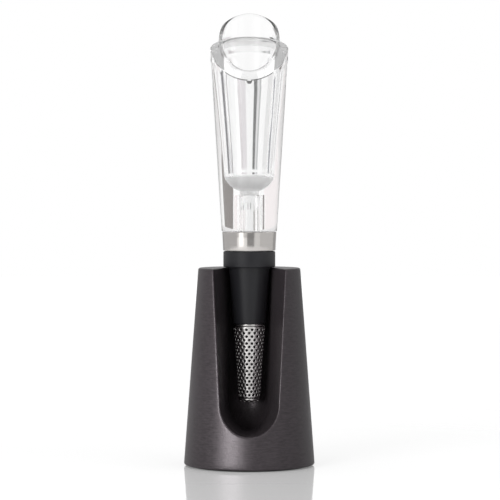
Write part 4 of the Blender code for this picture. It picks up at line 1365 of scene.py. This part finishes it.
def mix_colour(tree, factor, first, second):
    """Blend of two colours, given as sockets or as numbers."""
    first, second = ((*colour, 1.0) if isinstance(colour, tuple) else colour
                     for colour in (first, second))
    return add(tree, "ShaderNodeMix", {"Factor": factor, 6: first, 7: second},
               data_type="RGBA").outputs[2]


def make_surroundings(scene):
    """White behind the object, with the cards that the clear pieces show."""
    scene.world = bpy.data.worlds.new("studio_surroundings")
    scene.world.use_nodes = True
    tree = scene.world.node_tree
    way = add(tree, "ShaderNodeTexCoord").outputs["Generated"]
    parts = add(tree, "ShaderNodeSeparateXYZ", {0: way}).outputs
    front = math_node(tree, "MULTIPLY", parts["Y"], -1.0)
    azimuth = math_node(tree, "DEGREES", math_node(tree, "ARCTAN2", parts["X"], front))
    elevation = math_node(tree, "DEGREES", math_node(tree, "ARCSINE", parts["Z"]))
    tone = WHITE
    for left, right, low, high, blur, card in CLEAR_CARDS:
        inside = math_node(tree, "MULTIPLY", between(tree, azimuth, left, right, blur),
                           between(tree, elevation, low, high, min(blur, WIDEST_LEVEL_BLUR)))
        tone = mix_colour(tree, inside, tone, card)
    path = add(tree, "ShaderNodeLightPath").outputs
    shown = mix_colour(tree, path["Is Glossy Ray"], LIT_TONE, MIRRORED_TONE)
    shown = mix_colour(tree, path["Is Transmission Ray"], shown, tone)
    shown = mix_colour(tree, path["Is Camera Ray"], shown, WHITE)
    feed(tree, tree.nodes["Background"], {"Color": shown})


def hide_from(item, rays):
    """Keep an object out of what some kinds of ray show."""
    for ray in rays:
        setattr(item, f"visible_{ray}", False)


def make_card(name, left, right, height, distance, tone):
    """A bent card round the object that shows in reflections alone."""
    shape = bmesh.new()
    steps = max(2, round((right - left) / 4.0))
    lower, upper = [], []
    for angle in levels(math.radians(left), math.radians(right), shares(steps)):
        x, y = distance * math.sin(angle), -distance * math.cos(angle)
        lower.append(shape.verts.new((x, y, 1.0 * MM)))
        upper.append(shape.verts.new((x, y, height)))
    join_rows(shape, lower, upper, closed=False)
    card = new_object(name, taken_mesh(name, shape))
    material = bpy.data.materials.new(name)
    material.use_nodes = True
    tree = material.node_tree
    tree.nodes.clear()
    glow = add(tree, "ShaderNodeEmission", {"Strength": tone})
    add(tree, "ShaderNodeOutputMaterial", {"Surface": glow.outputs[0]})
    card.data.materials.append(material)
    hide_from(card, ("camera", "diffuse", "transmission", "shadow", "volume_scatter"))
    return card


def make_lamp(name, azimuth, elevation, distance, width, height, power, hidden):
    """A soft box that faces the object."""
    light = bpy.data.lights.new(name, "AREA")
    light.shape = "RECTANGLE"
    light.size, light.size_y = width, height
    light.energy = power
    lamp = new_object(name, light)
    side, up = math.radians(azimuth), math.radians(elevation)
    aim = Vector((0.0, 0.0, CAD_BOUNDS[1][2] / 2.0))
    way = Vector((math.sin(side) * math.cos(up), -math.cos(side) * math.cos(up), math.sin(up)))
    lamp.location = aim + way * distance
    lamp.rotation_euler = way.to_track_quat("Z", "Y").to_euler()
    hide_from(lamp, hidden)


def light_stand_alone(lamp):
    """Let a lamp light nothing but the stand."""
    lit = bpy.data.collections.new("lit_by_" + lamp.name)
    skin = bpy.data.objects.get("stand_skin")
    if skin:
        lit.objects.link(skin)
    lamp.light_linking.receiver_collection = lit


def make_camera(scene, settings):
    """The camera at the photograph's place and angle."""
    view = bpy.data.cameras.new("studio_camera")
    view.sensor_width = 36.0
    view.lens = view.sensor_width * settings.distance / settings.field
    view.clip_start, view.clip_end = 0.01, 50.0
    camera = new_object("studio_camera", view)
    camera.location = (settings.aside, -settings.distance, settings.height)
    aim = Vector((settings.aside, 0.0, settings.aim)) - camera.location
    camera.rotation_euler = aim.to_track_quat("-Z", "Y").to_euler()
    scene.camera = camera


# Panel and registration


class POURER_PT_pieces(bpy.types.Panel):
    """Pieces of the pourer and their sizes"""

    bl_idname = "POURER_PT_pieces"
    bl_label = "Aerator Pourer"
    bl_space_type = "VIEW_3D"
    bl_region_type = "UI"
    bl_category = "Pourer"

    def draw(self, context):
        scene = context.scene
        for operator, group in PANEL_ROWS:
            box = self.layout.box()
            box.operator(operator)
            settings = getattr(scene, group)
            for name in settings.bl_rna.properties.keys():
                if name not in ("rna_type", "name"):
                    box.prop(settings, name)


PANEL_ROWS = (("pourer.stand", "pourer_stand"), ("pourer.stopper", "pourer_stopper"),
              ("pourer.ring", "pourer_stopper"), ("pourer.spout", "pourer_spout"),
              ("pourer.strainer", "pourer_strainer"), ("pourer.studio", "pourer_studio"))
GROUPS = (("pourer_stand", StandSettings), ("pourer_stopper", StopperSettings),
          ("pourer_spout", SpoutSettings), ("pourer_strainer", StrainerSettings),
          ("pourer_studio", StudioSettings))
CLASSES = (StandSettings, StopperSettings, SpoutSettings, StrainerSettings, StudioSettings,
           POURER_OT_stand, POURER_OT_stopper, POURER_OT_ring, POURER_OT_spout,
           POURER_OT_strainer, POURER_OT_studio, POURER_PT_pieces)


def register():
    """Register the classes and give the scene its settings."""
    for item in CLASSES:
        bpy.utils.register_class(item)
    for name, group in GROUPS:
        setattr(bpy.types.Scene, name, PointerProperty(type=group))


def unregister():
    """Take the settings and the classes back."""
    for name, group in reversed(GROUPS):
        delattr(bpy.types.Scene, name)
    for item in reversed(CLASSES):
        bpy.utils.unregister_class(item)


def main():
    """Register the settings, and build every piece and the studio."""
    register()
    bpy.ops.pourer.stand()
    bpy.ops.pourer.stopper()
    bpy.ops.pourer.ring()
    bpy.ops.pourer.spout()
    bpy.ops.pourer.strainer()
    bpy.ops.pourer.studio()


if __name__ == "__main__":
    main()
